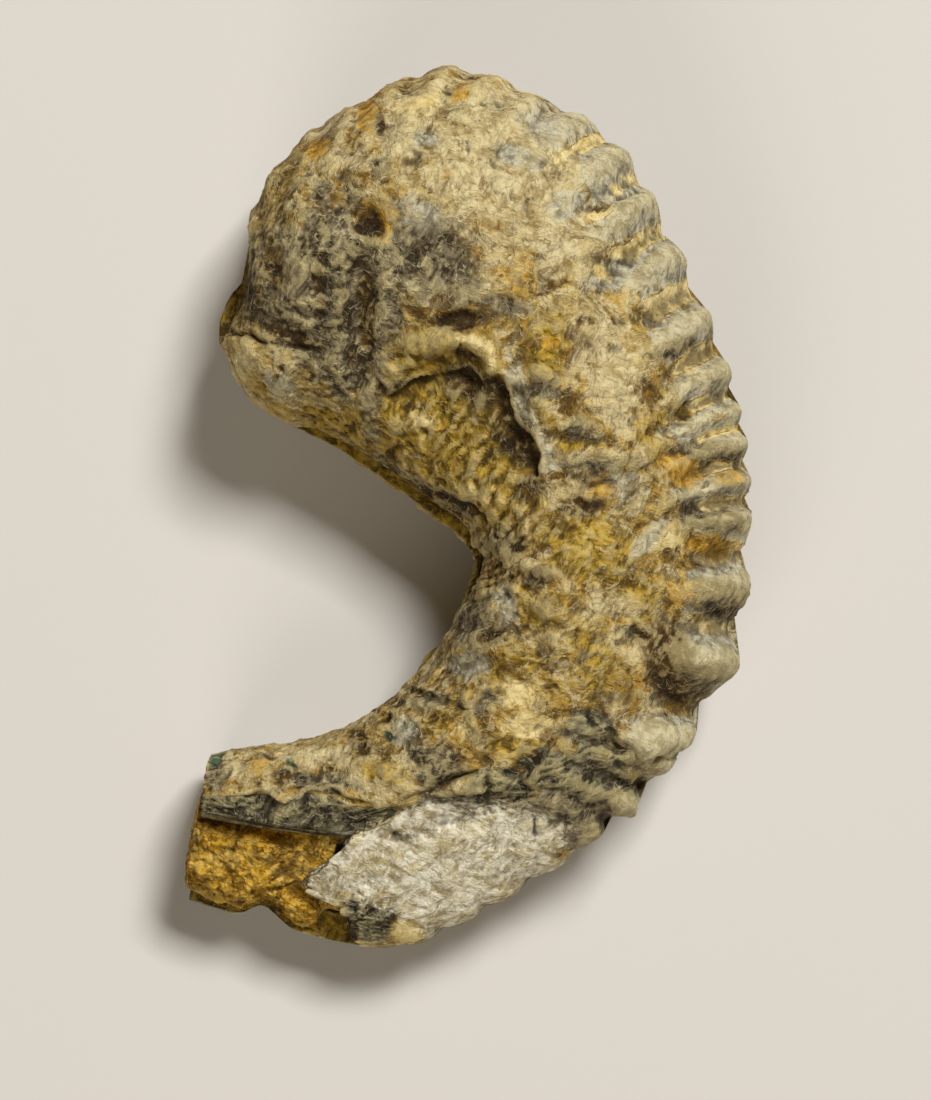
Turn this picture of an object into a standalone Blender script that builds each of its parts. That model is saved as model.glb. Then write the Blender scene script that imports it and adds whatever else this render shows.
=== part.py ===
"""Fossil oyster: a crescent shell whose two ribbed valves stay shut on a fill of hardened sediment.

Three solids, all lofted from one set of stations that run from the beak, through the domed head and
round the crescent, to the broken tail:

  upper_valve    the valve on top, a ribbed wall that ends in a ragged break near the tail
  lower_valve    the valve it lies on, with the worn attachment scar that rests on the ground
  sediment_fill  the stone that set between them, bare at the tail where the upper valve is gone

A station is a straight line across the shell, from its hollow side to its outer side. A section stands
on each station. An angle goes round the section: 0 on the outer margin, 90 degrees on top, 180 on the
inner margin and 270 underneath. The two valves meet along a zigzag at angles 0 and 180.

Tables are in millimetres, in plan: +X right, +Y along the crescent's height, +Z up. The origin is put at
the middle of the finished form's base.
"""

import math

import bmesh
import bpy
import numpy as np

MM = 0.001

# ---- driving sizes, in millimetres --------------------------------------------------------------

WALL = 3.2  # thickness of a valve
FIT_GAP = 0.36  # clearance between the fill and a valve
JOINT_GAP = 0.40  # clearance between the two valves, measured upright
SCAR_RADIUS = 6.5  # the worn flat where the lower valve was cemented down
SCAR_CENTRE = (-3.5, 24.0)
SCAR_RISE = 4.0  # points higher than this aren't part of the scar
WEAR = 0.35  # how far the lower valve's lumps were worn down to the resting plane

# One row for each station: the inner margin (x, y), the outer margin (x, y), the height of the joint
# above the ground, the upper valve's rise, the lower valve's depth, how far the crest leans out, and the
# outer flank of the upper valve, from boxy (0.8) to a straight slope (1.3).
STATIONS = np.array(
    [
        (-23.7, 14.9, -24.9, 16.9, 13.4, 2.4, 2.4, 0.0, 0.90),
        (-22.5, 12.2, -24.5, 20.0, 13.2, 6.6, 6.6, 0.0, 0.90),
        (-20.0, 10.0, -22.3, 23.9, 13.0, 9.8, 10.2, 0.05, 0.90),
        (-16.8, 8.1, -21.1, 29.6, 13.0, 12.4, 12.6, 0.15, 0.90),
        (-13.3, 6.4, -17.9, 35.3, 13.0, 14.4, 13.3, 0.22, 0.92),
        (-10.2, 4.4, -11.4, 40.0, 13.0, 15.6, 13.3, 0.26, 0.95),
        (-6.8, 2.1, -2.6, 43.8, 13.0, 16.0, 13.3, 0.26, 1.00),
        (-4.1, 0.1, 6.1, 41.6, 13.0, 15.8, 13.3, 0.18, 1.05),
        (-1.3, -2.0, 14.9, 36.1, 13.0, 15.2, 13.3, 0.06, 1.12),
        (0.0, -3.7, 19.7, 27.5, 13.0, 14.4, 13.2, -0.06, 1.20),
        (0.9, -5.5, 24.6, 16.5, 13.0, 13.8, 13.1, -0.16, 1.25),
        (0.1, -7.6, 27.6, 5.8, 12.9, 13.2, 13.0, -0.20, 1.25),
        (-0.5, -9.8, 27.2, -6.8, 12.7, 12.6, 12.8, -0.18, 1.22),
        (-2.8, -13.5, 25.5, -16.2, 12.3, 12.0, 12.5, -0.10, 1.15),
        (-6.3, -17.7, 20.2, -24.2, 11.8, 11.4, 12.1, -0.04, 1.05),
        (-9.8, -20.3, 13.5, -32.0, 11.2, 10.6, 11.5, -0.04, 1.00),
        (-12.9, -22.0, 3.6, -38.9, 10.5, 9.6, 10.8, -0.10, 1.00),
        (-16.8, -23.2, -6.8, -43.8, 9.9, 8.8, 10.1, -0.22, 1.00),
        (-21.3, -23.8, -17.4, -42.5, 9.4, 8.2, 9.5, -0.30, 0.95),
        (-26.0, -24.8, -28.2, -39.3, 9.0, 7.4, 8.6, -0.32, 0.90),
    ]
)
TAIL_STATION = len(STATIONS) - 1.0

# The ribs: the station that each crest meets the outer margin at, and its height there.
RIBS = np.array(
    [
        (0.70, 0.15),
        (1.40, 0.25),
        (2.10, 0.35),
        (2.90, 0.35),
        (3.65, 0.40),
        (4.35, 0.50),
        (4.95, 0.60),
        (5.45, 0.50),
        (6.07, 0.70),
        (6.66, 0.60),
        (7.13, 0.50),
        (7.60, 0.50),
        (8.12, 1.10),
        (8.68, 1.20),
        (9.24, 1.50),
        (9.79, 1.60),
        (10.27, 1.40),
        (10.64, 1.10),
        (10.93, 1.10),
        (11.25, 1.20),
        (11.52, 1.40),
        (12.06, 2.00),
        (12.90, 2.70),
        (13.86, 2.70),
        (14.16, 1.80),
        (14.68, 2.00),
        (15.10, 0.90),
        (15.50, 0.80),
        (15.97, 0.70),
        (16.35, 0.60),
        (16.80, 0.50),
    ]
)
# The ribs bend towards the beak as they climb from the outer margin: stations to a full width across.
SLANT_STATIONS = (0.0, 3.0, 5.0, 6.0, 8.0, 8.5, 9.0, 9.5, 10.0, 11.0, 11.5, 12.0, 12.9, 13.9, 14.5, 15.5, 17.0)
SLANTS = (0.0, 0.8, 2.0, 2.9, 3.0, 2.6, 1.9, 1.3, 1.0, 0.9, 0.55, 0.3, 0.1, -0.25, 0.2, 0.5, 0.0)
REACH_STATIONS = (5.0, 7.0, 8.0, 9.0, 10.5, 11.5, 12.9, 13.9, 14.3, 15.0)
REACHES = (2.5, 4.0, 8.0, 10.5, 10.5, 10.0, 7.5, 8.0, 5.0, 3.0)  # how far in from the margin the ribs show
CLOSE_RIBS = 0.42  # ribs nearer than this, in stations, get two stations each and not four
ZIGZAG = 1.5  # how far the joint swings up and down from its middle, where a rib is at full height
FULL_RIB = 1.5  # the rib height that has the full zigzag
ZIGZAG_FADES = 14.7  # the station past which the joint runs straight
LOWER_RIB_SHARE = 0.75  # height of the lower valve's ribs, which stand between the upper's
INNER_RIB_SHARE = 0.16  # height of the ribs along the hollow side
TOP_RIB_SHARE = 0.06  # and over the worn top
RIB_MIDDLE = 0.55  # the part of a rib's height that lies outside the plain form's skin
INNER_ZIGZAG_SHARE = 0.22

# Where the upper valve breaks off, as a station number for each angle from the outer margin to the inner.
BREAK_ANGLES = (0.0, 40.0, 52.0, 57.0, 70.0, 84.0, 92.0, 97.0, 100.0, 102.0, 105.0, 108.0, 180.0)
BREAK_STATIONS = (17.4, 17.35, 17.4, 17.8, 17.6, 17.3, 16.95, 16.75, 17.2, 18.0, 18.5, 18.95, 18.97)
BREAK_STARTS = 15.2  # the stations past this one are drawn back to the break
BARE_TURN = 13.0  # degrees, and stations, that the bare fill keeps clear of the broken edge
BARE_STEP = 0.16
FILL_BARE_DEPTH = 1.0  # how far the bare fill lies inside the form that the lost shell had
FILL_BARE_SINK = 0.6  # and how much lower than that its top is
TERRACE_DEPTH = 1.3  # the outer layers lost from the tail's outer side, beyond a step
# Where that step runs, as an angle at each station, and how many degrees it slopes over.
TERRACE_STATIONS = (14.8, 15.3, 15.9, 16.4, 16.7, 16.9, 17.3, 17.6, 17.9, 19.0)
TERRACE_ANGLES = (62.0, 90.0, 100.0, 103.0, 111.0, 119.0, 124.0, 116.0, 122.0, 119.0)
TERRACE_SLOPE_STATIONS = (16.3, 16.9)
TERRACE_SLOPES = (7.0, 14.0)
BEAK_LEDGE = 2.2  # how far the upper valve's outer margin stands back from the lower's by the beak
HOLLOW_LEDGE = 1.2  # and its inner margin, along the shell's hollow side

# Swellings and hollows of the upper valve: x, y, half length, half width, turn in degrees, height.
UPPER_RELIEF = (
    (0.2, 7.4, 7.4, 4.2, -42.0, -2.5),  # the hollow where flakes of the wall have come off
    (-2.4, 15.9, 4.8, 1.7, -6.0, 1.9),  # the lip over that hollow
    (7.0, 9.5, 8.0, 1.8, 84.0, 1.0),  # the edge of the thicker wall beside it
    (-10.6, 18.5, 8.5, 1.5, 86.0, -1.0),  # the furrow down the head
    (-16.5, 25.0, 4.2, 4.2, 0.0, 0.9),  # the boss to the left of the furrow
    (-9.5, 28.8, 1.5, 1.3, 60.0, -0.8),  # the round pit
    (-19.5, 13.2, 4.4, 2.6, -48.0, 1.1),  # the ear by the beak
    (-19.0, 17.8, 4.5, 1.2, -25.0, -1.2),  # the crease above the ear
    (22.6, -14.2, 3.6, 2.8, -20.0, 1.8),  # the large knob
    (18.6, -15.6, 2.6, 1.8, 60.0, -1.6),  # the hollow beside it
    (18.4, -22.8, 2.4, 2.4, 0.0, 1.3),  # the small knob
    (14.2, -27.5, 2.4, 1.3, -35.0, -0.9),  # the gap after it
    (7.0, -21.0, 8.0, 1.1, 28.0, -0.9),  # the step where the top layer ends
    (1.2, -21.5, 6.0, 3.2, 20.0, 1.0),  # the swelling above that step
    (-7.2, -26.0, 4.6, 2.4, -12.0, 1.2),  # the swellings of the narrow strip to the tail
    (-20.6, -25.6, 2.6, 1.7, -10.0, 0.9),
    (-13.8, -26.0, 1.3, 2.6, 10.0, -0.6),
    (-2.0, -30.8, 9.0, 1.2, 20.0, -0.8),  # the groove under the strip
    (-26.4, -27.2, 2.6, 1.8, 60.0, -1.3),  # the worn corner of the tail
)
# Swellings and hollows of the lower valve, in the same order.
LOWER_RELIEF = (
    (-21.0, 22.0, 4.5, 3.5, 70.0, 1.2),
    (14.0, 20.0, 5.0, 3.0, -50.0, -1.0),
    (18.0, -6.0, 5.5, 3.0, 85.0, -1.2),
    (4.0, -27.0, 5.0, 2.5, 20.0, -0.9),
)
NOTCH_CENTRE = (-20.2, -41.0)  # the bite out of the fill and the lower valve at the tail
NOTCH_RADIUS = 2.0
NOTCH_DEPTH = 2.2
LUMP_HEIGHT = 0.45  # random unevenness of the whole surface
LUMP_SIZE = 5.0
GRAIN_HEIGHT = 0.35  # unevenness of the bare, broken fill
GRAIN_SIZE = 2.0

# Angles round the section at which each solid has its points, in degrees. A flank has a row of points
# at every station, to carry its ribs, and the rest of a valve has one at every second station.
UPPER_FLANK_ANGLES = (0, 14, 29, 45, 60)
UPPER_TOP_ANGLES = (67, 74, 81, 88, 95, 102, 109, 117, 125, 134, 143, 153, 166, 180)
LOWER_FLANK_ANGLES = (360, 347, 332, 316)
LOWER_BASE_ANGLES = (302, 286, 270, 254, 238, 220, 202, 190, 180)
INSIDE_UPPER_ANGLES = (0, 20, 42, 66, 90, 114, 138, 160, 180)
INSIDE_LOWER_ANGLES = (360, 335, 305, 270, 235, 205, 180)
FILL_UPPER_ANGLES = (3, 12, 26, 42, 58, 74, 90, 106, 122, 138, 154, 168, 177)
FILL_LOWER_ANGLES = (180, 205, 235, 270, 305, 335, 360)
TAIL_STEPS = 15  # stations past the last rib
FILL_COVERED_STATIONS = (2.3, 15.8, 0.5)  # the fill's stations inside the valves: first, past the last, step
FILL_BARE_STATIONS = (16.0, 19.16, 0.125)  # and where it is bare
CAVITY_STARTS = 1.5  # the station where the hollow between the valves begins, and how many more it takes
CAVITY_GROWS = 1.8  # to reach its full height
SIDE_POWER = 0.88  # under 1 makes the section boxier than an ellipse
RISE_POWER = 0.88


# ---- the form, as functions of station and angle ---------------------------------------------------


def through_stations(station):
    """Rows of STATIONS at any station numbers: a Catmull-Rom spline through the table."""
    last = len(STATIONS) - 1
    station = np.asarray(station, float)
    k = np.clip(np.floor(station).astype(int), 0, last - 1)
    t = (station - k)[..., None]
    before, here, after, beyond = (STATIONS[np.clip(k + step, 0, last)] for step in (-1, 0, 1, 2))
    return 0.5 * (
        2 * here
        + (after - before) * t
        + (2 * before - 5 * here + 4 * after - beyond) * t**2
        + (3 * here - before - 3 * after + beyond) * t**3
    )


def smooth_step(value):
    """0 below 0, 1 above 1, and an S curve between."""
    value = np.clip(value, 0.0, 1.0)
    return value * value * (3 - 2 * value)


def rib_phase(station):
    """Counts the ribs: a whole number on each crest, and a half in each groove."""
    before = RIBS[0, 0] - (RIBS[1, 0] - RIBS[0, 0])
    after = RIBS[-1, 0] + (RIBS[-1, 0] - RIBS[-2, 0])
    crests = np.concatenate([[before], RIBS[:, 0], [after]])
    return np.interp(station, crests, np.arange(-1, len(RIBS) + 1))


def rib_height(station):
    """Height of the ribs at a station, before the shape of each one."""
    return np.interp(station, [0.0, *RIBS[:, 0], 17.2], [0.0, *RIBS[:, 1], 0.0])


def ridge(phase):
    """Section through a row of ribs: round crests of height 1 and narrow grooves of height 0."""
    return np.abs(np.cos(np.pi * phase)) ** 0.9


def zigzag(station):
    """How far the joint stands above its middle height at the outer margin, up to the bare fill."""
    swing = ZIGZAG * np.minimum(rib_height(station) / FULL_RIB, 1.0)
    fade = 1 - smooth_step((station - ZIGZAG_FADES) / 0.5)
    return swing * fade * np.cos(2 * np.pi * rib_phase(station))


def lattice(cell):
    """A repeatable value from -1 to 1 for each whole-numbered corner: the fraction of a large sine."""
    mixed = np.sin(cell @ np.array([127.1, 311.7, 74.7])) * 43758.5453
    return 2 * (mixed - np.floor(mixed)) - 1


def unevenness(points, size):
    """Smooth random height from -1 to 1: values at the corners of cubes of this size, blended."""
    scaled = points / size
    corner = np.floor(scaled)
    share = smooth_step(scaled - corner)
    total = np.zeros(points.shape[:-1])
    for step in np.ndindex(2, 2, 2):
        weight = np.prod(np.where(np.array(step) == 1, share, 1 - share), axis=-1)
        total += weight * lattice(corner + np.array(step))
    return total


def relief(x, y, table):
    """Sum of the swellings and hollows of a table at places in plan: each is a turned Gaussian."""
    total = np.zeros_like(x)
    for centre_x, centre_y, long, wide, turn, height in table:
        c, s = math.cos(math.radians(turn)), math.sin(math.radians(turn))
        along = ((x - centre_x) * c + (y - centre_y) * s) / long
        across = ((y - centre_y) * c - (x - centre_x) * s) / wide
        total += height * np.exp(-(along**2 + across**2))
    return total


def notch(x, y):
    """How far the bite at the tail draws a point in."""
    reach = np.hypot(x - NOTCH_CENTRE[0], y - NOTCH_CENTRE[1]) / NOTCH_RADIUS
    return NOTCH_DEPTH * np.exp(-(reach**2))


def side_of(station, angle, inset_share):
    """How far across a section a point lies, from 0 at the inner margin to 1 at the outer."""
    flank = through_stations(station)[..., 8]
    cosine = np.cos(np.radians(angle))
    power = np.where((cosine > 0) & (angle < 180), flank, SIDE_POWER)
    return 0.5 + (0.5 - inset_share) * np.sign(cosine) * np.abs(cosine) ** power


def section_points(station, angle, inset):
    """Points of the plain form at stations and angles (degrees), drawn in from its skin by inset.

    Also gives the way out in plan, and the sine and cosine of the angle."""
    row = through_stations(station)
    inner, outer = row[..., 0:2], row[..., 2:4]
    joint, rise, depth, lean = (row[..., i] for i in range(4, 8))
    turn = np.radians(angle)
    cosine, sine = np.cos(turn), np.sin(turn)
    width = np.linalg.norm(outer - inner, axis=-1)
    way = (outer - inner) / width[..., None]
    side = side_of(station, angle, np.minimum(inset / width, 0.45))
    plan = inner + (outer - inner) * side[..., None]
    height = np.where(sine >= 0, rise, depth) - inset
    swell = 1 + np.where(sine >= 0, lean, 0.0) * (2 * side - 1)
    z = joint + np.maximum(height, 0.0) * np.sign(sine) * np.abs(sine) ** RISE_POWER * swell
    return np.concatenate([plan, z[..., None]], axis=-1), way, sine, cosine


def slanted(margin_station, angle):
    """Station of a point on the rib line that starts from the outer margin at margin_station."""
    side = side_of(margin_station, angle, 0.0)
    return margin_station - np.interp(margin_station, SLANT_STATIONS, SLANTS) * side * (1 - side)


def rib_reach(margin_station, angle):
    """How much of a rib is left: it wears away a short way in from the outer margin."""
    row = through_stations(margin_station)
    width = np.linalg.norm(row[..., 2:4] - row[..., 0:2], axis=-1)
    inward = (1 - side_of(margin_station, angle, 0.0)) * width
    return smooth_step((1 - inward / np.interp(margin_station, REACH_STATIONS, REACHES)) / 0.55)


def rib_swell(station, angle, sine, cosine, upper):
    """How far the ribs push the skin out: full on the flank, faint on top and along the hollow side.

    The station is the one where the point's rib line starts."""
    phase = rib_phase(station) + (0.0 if upper else 0.5)
    height = rib_height(station) * (1.0 if upper else LOWER_RIB_SHARE)
    outward = smooth_step((cosine - 0.10) / 0.50) * (rib_reach(station, angle) if upper else 1.0)
    inward = smooth_step((-cosine - 0.2) / 0.6)
    share = outward + INNER_RIB_SHARE * inward + TOP_RIB_SHARE * (1 - outward) * (1 - inward)
    on_flank = height * (ridge(phase) - RIB_MIDDLE) * share
    on_margin = rib_height(station) * (ridge(rib_phase(station)) - RIB_MIDDLE)
    at_margin = smooth_step(1 - np.abs(sine) / 0.25) * (cosine > 0)
    return on_flank * (1 - at_margin) + on_margin * at_margin


def ledge(station, cosine):
    """How far the upper valve's margins stand back from the lower's: out by the beak, in elsewhere."""
    by_beak = BEAK_LEDGE * smooth_step(station / 0.9) * smooth_step((2.9 - station) / 0.9)
    by_hollow = HOLLOW_LEDGE * smooth_step((station - 2.6) / 1.0) * smooth_step((12.5 - station) / 2.0)
    return by_hollow * smooth_step(-cosine) - by_beak * smooth_step(cosine)


def terrace(station, angle):
    """How much of the outer layers is gone beyond the step on the tail's outer side."""
    edge = np.interp(station, TERRACE_STATIONS, TERRACE_ANGLES)
    begun = smooth_step((station - TERRACE_STATIONS[0]) / 0.5)
    slope = np.interp(station, TERRACE_SLOPE_STATIONS, TERRACE_SLOPES)
    return TERRACE_DEPTH * begun * smooth_step((edge - angle) / slope)


def skin(margin_station, angle, upper):
    """The finished outside of a valve: the plain form with its ribs, zigzag, relief and lumps.

    A row of points follows the rib line that starts from the outer margin at margin_station."""
    station = slanted(margin_station, angle)
    points, way, sine, cosine = section_points(station, angle, np.zeros_like(station))
    lumps = LUMP_HEIGHT * unevenness(points, LUMP_SIZE)
    away = rib_swell(margin_station, angle, sine, cosine, upper) + lumps * np.abs(sine)
    swing = zigzag(margin_station) * np.where(cosine > 0, cosine**2, INNER_ZIGZAG_SHARE * cosine**2)
    if upper:
        away -= terrace(station, angle) * np.abs(sine)
        bumps = relief(points[..., 0], points[..., 1], UPPER_RELIEF)
        points[..., 0:2] += way * ledge(station, cosine)[..., None]
    else:
        bumps = relief(points[..., 0], points[..., 1], LOWER_RELIEF)
        points[..., 0:2] -= way * notch(points[..., 0], points[..., 1])[..., None]
    points[..., 0:2] += way * (away * cosine)[..., None]
    points[..., 2] += away * sine + swing + bumps * sine
    if not upper:
        points[..., 2] = worn_flat(points)
    return points


def worn_flat(points):
    """Heights with everything under the resting plane worn off, and the scar cut flat on it."""
    z = points[..., 2] - WEAR
    from_scar = np.hypot(points[..., 0] - SCAR_CENTRE[0], points[..., 1] - SCAR_CENTRE[1])
    in_scar = (from_scar < SCAR_RADIUS) & (z < SCAR_RISE)
    return np.where(in_scar, 0.0, np.maximum(z, 0.0))


def cavity_opening(station):
    """The hollow for the fill: 0 where the valves are solid at the beak, and 1 where it is full."""
    return smooth_step((station - CAVITY_STARTS) / CAVITY_GROWS)


def inner_skin(station, angle):
    """The inside of a valve, a wall's thickness in from the plain form and without ribs."""
    inset = np.full_like(station, WALL)
    points = section_points(station, angle, inset)[0]
    joint = through_stations(station)[..., 4]
    points[..., 2] = joint + (points[..., 2] - joint) * cavity_opening(station)
    return points


# ---- stations -----------------------------------------------------------------------------------


def valve_stations():
    """Station numbers for a valve: four to a rib, or two to a close one, and plain steps at the ends."""
    found = [0.0, 0.35]
    for here, after in zip(RIBS[:-1, 0], RIBS[1:, 0]):
        quarters = (0.0, 0.5) if after - here < CLOSE_RIBS else (0.0, 0.25, 0.5, 0.75)
        found += [here + (after - here) * quarter for quarter in quarters]
    found += list(np.linspace(RIBS[-1, 0], TAIL_STATION, TAIL_STEPS + len(found) % 2))
    return np.array(found)


def drawn_back(station, angle):
    """Stations of the upper valve, with those near the tail drawn back to the ragged break."""
    ends = np.interp(angle, BREAK_ANGLES, BREAK_STATIONS)
    share = (station - BREAK_STARTS) / (TAIL_STATION - BREAK_STARTS)
    return np.where(share > 0, BREAK_STARTS + share * (ends - BREAK_STARTS), station)


# ---- lofting ------------------------------------------------------------------------------------


def add_patch(points, faces, rows):
    """Adds a grid of points, row by row, with the quads between them. Gives the points' numbers."""
    count, columns = rows.shape[:2]
    index = len(points) + np.arange(count * columns).reshape(count, columns)
    points.extend(rows.reshape(-1, 3).tolist())
    quads = np.stack([index[:-1, :-1], index[1:, :-1], index[1:, 1:], index[:-1, 1:]], axis=-1)
    faces.extend(quads.reshape(-1, 4).tolist())
    return index.tolist()


def zipper(longer, shorter):
    """Triangles between two lines of points of unlike counts, with the shorter one shared out evenly."""
    faces = []
    ratio = (len(shorter) - 1) / (len(longer) - 1)
    for step in range(len(longer) - 1):
        here, after = round(step * ratio), round((step + 1) * ratio)
        faces.append([longer[step], longer[step + 1], shorter[here]])
        if after != here:
            faces.append([longer[step + 1], shorter[after], shorter[here]])
    return faces


def solid_from(name, points, faces, material):
    """Makes one closed object from points in millimetres and faces, with its faces turned outwards."""
    mesh = bpy.data.meshes.new(name)
    mesh.from_pydata((np.array(points) * MM).tolist(), [], faces)
    made = bmesh.new()
    made.from_mesh(mesh)
    bmesh.ops.recalc_face_normals(made, faces=made.faces)
    bmesh.ops.triangulate(made, faces=made.faces)
    made.to_mesh(mesh)
    made.free()
    mesh.materials.append(material)
    mesh.shade_smooth()
    mesh.set_sharp_from_angle(angle=math.radians(50))
    return bpy.data.objects.new(name, mesh)


def valve(name, upper, material):
    """One valve: its ribbed outside, its plain inside, and the joint faces and ends between them."""
    every = valve_stations()
    second = every[::2]
    flank_angles, rest_angles, inside_angles = (
        (UPPER_FLANK_ANGLES, UPPER_TOP_ANGLES, INSIDE_UPPER_ANGLES)
        if upper
        else (LOWER_FLANK_ANGLES, LOWER_BASE_ANGLES, INSIDE_LOWER_ANGLES)
    )
    points, faces = [], []
    flank = add_patch(points, faces, valve_rows(every, flank_angles, upper, True))
    rest = add_patch(points, faces, valve_rows(second, rest_angles, upper, True))
    inside = add_patch(points, faces, valve_rows(second, inside_angles, upper, False))
    faces += zipper(column_of(flank, -1), column_of(rest, 0))
    faces += zipper(column_of(flank, 0), column_of(inside, 0))
    faces += zipper(column_of(rest, -1), column_of(inside, -1))
    for end in (0, -1):
        faces += zipper(flank[end] + rest[end], inside[end])
    return solid_from(name, points, faces, material)


def column_of(index, column):
    """The numbers of the points down one column of a patch."""
    return [row[column] for row in index]


def valve_rows(stations, angles, upper, outside):
    """Points of a valve's outside or inside on every station and angle, with half the joint's gap."""
    station, angle = np.meshgrid(stations, np.array(angles, float), indexing="ij")
    if upper:
        station = drawn_back(station, angle)
    rows = skin(station, angle, upper) if outside else inner_skin(station, angle)
    rows[..., 2] += np.where(angle % 180 == 0, 0.5 if upper else -0.5, 0.0) * JOINT_GAP
    return rows


def bareness(station, angle):
    """1 where the fill is bare past the upper valve's break, and 0 where a valve covers it."""
    turns = (angle - BARE_TURN, angle, angle + BARE_TURN)
    ends = np.max([np.interp(turn, BREAK_ANGLES, BREAK_STATIONS) for turn in turns], axis=0)
    return smooth_step((station - ends - BARE_STEP) / 0.3)


def fill_points(station, angle, lower_half):
    """The fill's surface: close inside the valves, and rough and nearly full size where it is bare."""
    bare = np.zeros_like(station) if lower_half else bareness(station, angle)
    inset = WALL + FIT_GAP + (FILL_BARE_DEPTH - WALL - FIT_GAP) * bare
    points, way, sine, cosine = section_points(station, angle, inset)
    joint = through_stations(station)[..., 4]
    points[..., 2] = joint + (points[..., 2] - joint) * cavity_opening(station) - FILL_BARE_SINK * bare * sine
    grain = GRAIN_HEIGHT * bare * unevenness(points, GRAIN_SIZE)
    points[..., 0:2] += way * (grain * cosine - notch(points[..., 0], points[..., 1]))[..., None]
    points[..., 2] += grain * sine
    return points


def fill(name, material):
    """The sediment: a loft round both halves of the section, closed by a cap at each end."""
    stations = np.concatenate([np.arange(*FILL_COVERED_STATIONS), np.arange(*FILL_BARE_STATIONS)])
    upper_station, upper_angle = np.meshgrid(stations, np.array(FILL_UPPER_ANGLES, float), indexing="ij")
    lower_station, lower_angle = np.meshgrid(stations, np.array(FILL_LOWER_ANGLES, float), indexing="ij")
    halves = (fill_points(upper_station, upper_angle, False), fill_points(lower_station, lower_angle, True))
    points, faces = [], []
    index = add_patch(points, faces, np.concatenate(halves, axis=1))
    first, last = column_of(index, 0), column_of(index, -1)
    faces += zipper(last, first)
    for end in (0, -1):
        loop = index[end]
        centre = len(points)
        points.append(np.mean([points[number] for number in loop], axis=0).tolist())
        faces += [[here, after, centre] for here, after in zip(loop, loop[1:] + loop[:1])]
    return solid_from(name, points, faces, material)


# ---- the object ----------------------------------------------------------------------------------


def stone(name, colour, roughness):
    """A Principled material of one stone."""
    material = bpy.data.materials.new(name)
    material.use_nodes = True
    shader = material.node_tree.nodes["Principled BSDF"]
    shader.inputs["Base Color"].default_value = (*colour, 1.0)
    shader.inputs["Roughness"].default_value = roughness
    shader.inputs["Metallic"].default_value = 0.0
    return material


def clear_scene():
    """Removes whatever the scene starts with."""
    for found in list(bpy.data.objects):
        bpy.data.objects.remove(found)


def centre_on_base(pieces):
    """Moves the finished meshes so that the origin is at the middle of the whole form's base."""
    corners = np.array([vertex.co for piece in pieces for vertex in piece.data.vertices])
    low, high = corners.min(axis=0), corners.max(axis=0)
    middle = (low + high) / 2
    for piece in pieces:
        for vertex in piece.data.vertices:
            vertex.co.x -= middle[0]
            vertex.co.y -= middle[1]
            vertex.co.z -= low[2]


def main():
    clear_scene()
    pieces = [
        valve("upper_valve", True, stone("upper_shell", (0.50, 0.42, 0.27), 0.85)),
        valve("lower_valve", False, stone("lower_shell", (0.44, 0.38, 0.26), 0.85)),
        fill("sediment_fill", stone("sediment", (0.50, 0.32, 0.10), 0.95)),
    ]
    centre_on_base(pieces)
    collection = bpy.data.collections.new("fossil_oyster")
    bpy.context.scene.collection.children.link(collection)
    for piece in pieces:
        collection.objects.link(piece)


main()
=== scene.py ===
"""The looks of a fossil oyster: two ribbed valves of weathered shell, shut on hardened sediment.

The shell is a crescent. A station is a straight line across it, from its hollow side to its outer side,
and an angle, in degrees, goes round the section on the station: 0 on the outer margin, 90 on top, 180
on the inner margin and 270 underneath. Every surface is a grid of stations and angles.

Lengths are millimetres, in plan +X right and +Y along the crescent's height, until a mesh is made. The
finishes are written in metres, as their nodes read them.
"""

from __future__ import annotations

import logging
import math
from collections.abc import Callable
from dataclasses import dataclass, field
from enum import Enum

import bpy
import bmesh
import numpy as np
from bpy.types import Material, Node, NodeTree, Object
from bpy.types import NodeSocket as Socket
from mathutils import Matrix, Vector

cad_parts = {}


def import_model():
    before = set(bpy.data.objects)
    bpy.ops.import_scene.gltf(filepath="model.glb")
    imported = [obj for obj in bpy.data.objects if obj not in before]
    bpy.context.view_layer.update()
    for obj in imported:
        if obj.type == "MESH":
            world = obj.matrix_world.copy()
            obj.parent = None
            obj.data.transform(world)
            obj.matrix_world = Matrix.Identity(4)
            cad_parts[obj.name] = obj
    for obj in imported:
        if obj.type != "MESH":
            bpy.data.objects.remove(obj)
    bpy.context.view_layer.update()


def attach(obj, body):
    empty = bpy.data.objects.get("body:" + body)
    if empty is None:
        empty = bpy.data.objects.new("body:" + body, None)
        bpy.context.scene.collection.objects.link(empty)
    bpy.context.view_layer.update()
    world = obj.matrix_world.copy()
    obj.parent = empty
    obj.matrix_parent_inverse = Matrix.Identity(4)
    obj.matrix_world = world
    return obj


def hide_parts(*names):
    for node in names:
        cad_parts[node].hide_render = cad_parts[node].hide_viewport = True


log = logging.getLogger("fossil_oyster")

Array = np.ndarray
Point = tuple[float, float]
Rgb = tuple[int, int, int]

MM = 0.001
ORIGIN = np.array([-0.1058, 0.0915, 0.0])  # the middle of the form's base, which is the frame's origin
JOINT_HEIGHT = 13.0  # the joint's usual height above the ground
# The point that the marks are drawn from and the camera hangs at: its place in plan, over the object's
# middle, and its height above the joint.
EYE = (-0.25, -3.95, 420.0)

# ---- driving sizes, the same as the solids' ----

WALL = 3.2  # thickness of a valve
FIT_GAP = 0.36  # clearance between the fill and a valve
JOINT_GAP = 0.40  # clearance between the two valves, measured upright
SCAR_RADIUS = 6.5  # the worn flat where the lower valve was cemented down
SCAR_CENTRE = (-3.5, 24.0)
SCAR_RISE = 4.0  # points higher than this aren't part of the scar
WEAR = 0.35  # how far its lumps were worn down to the resting plane

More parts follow.
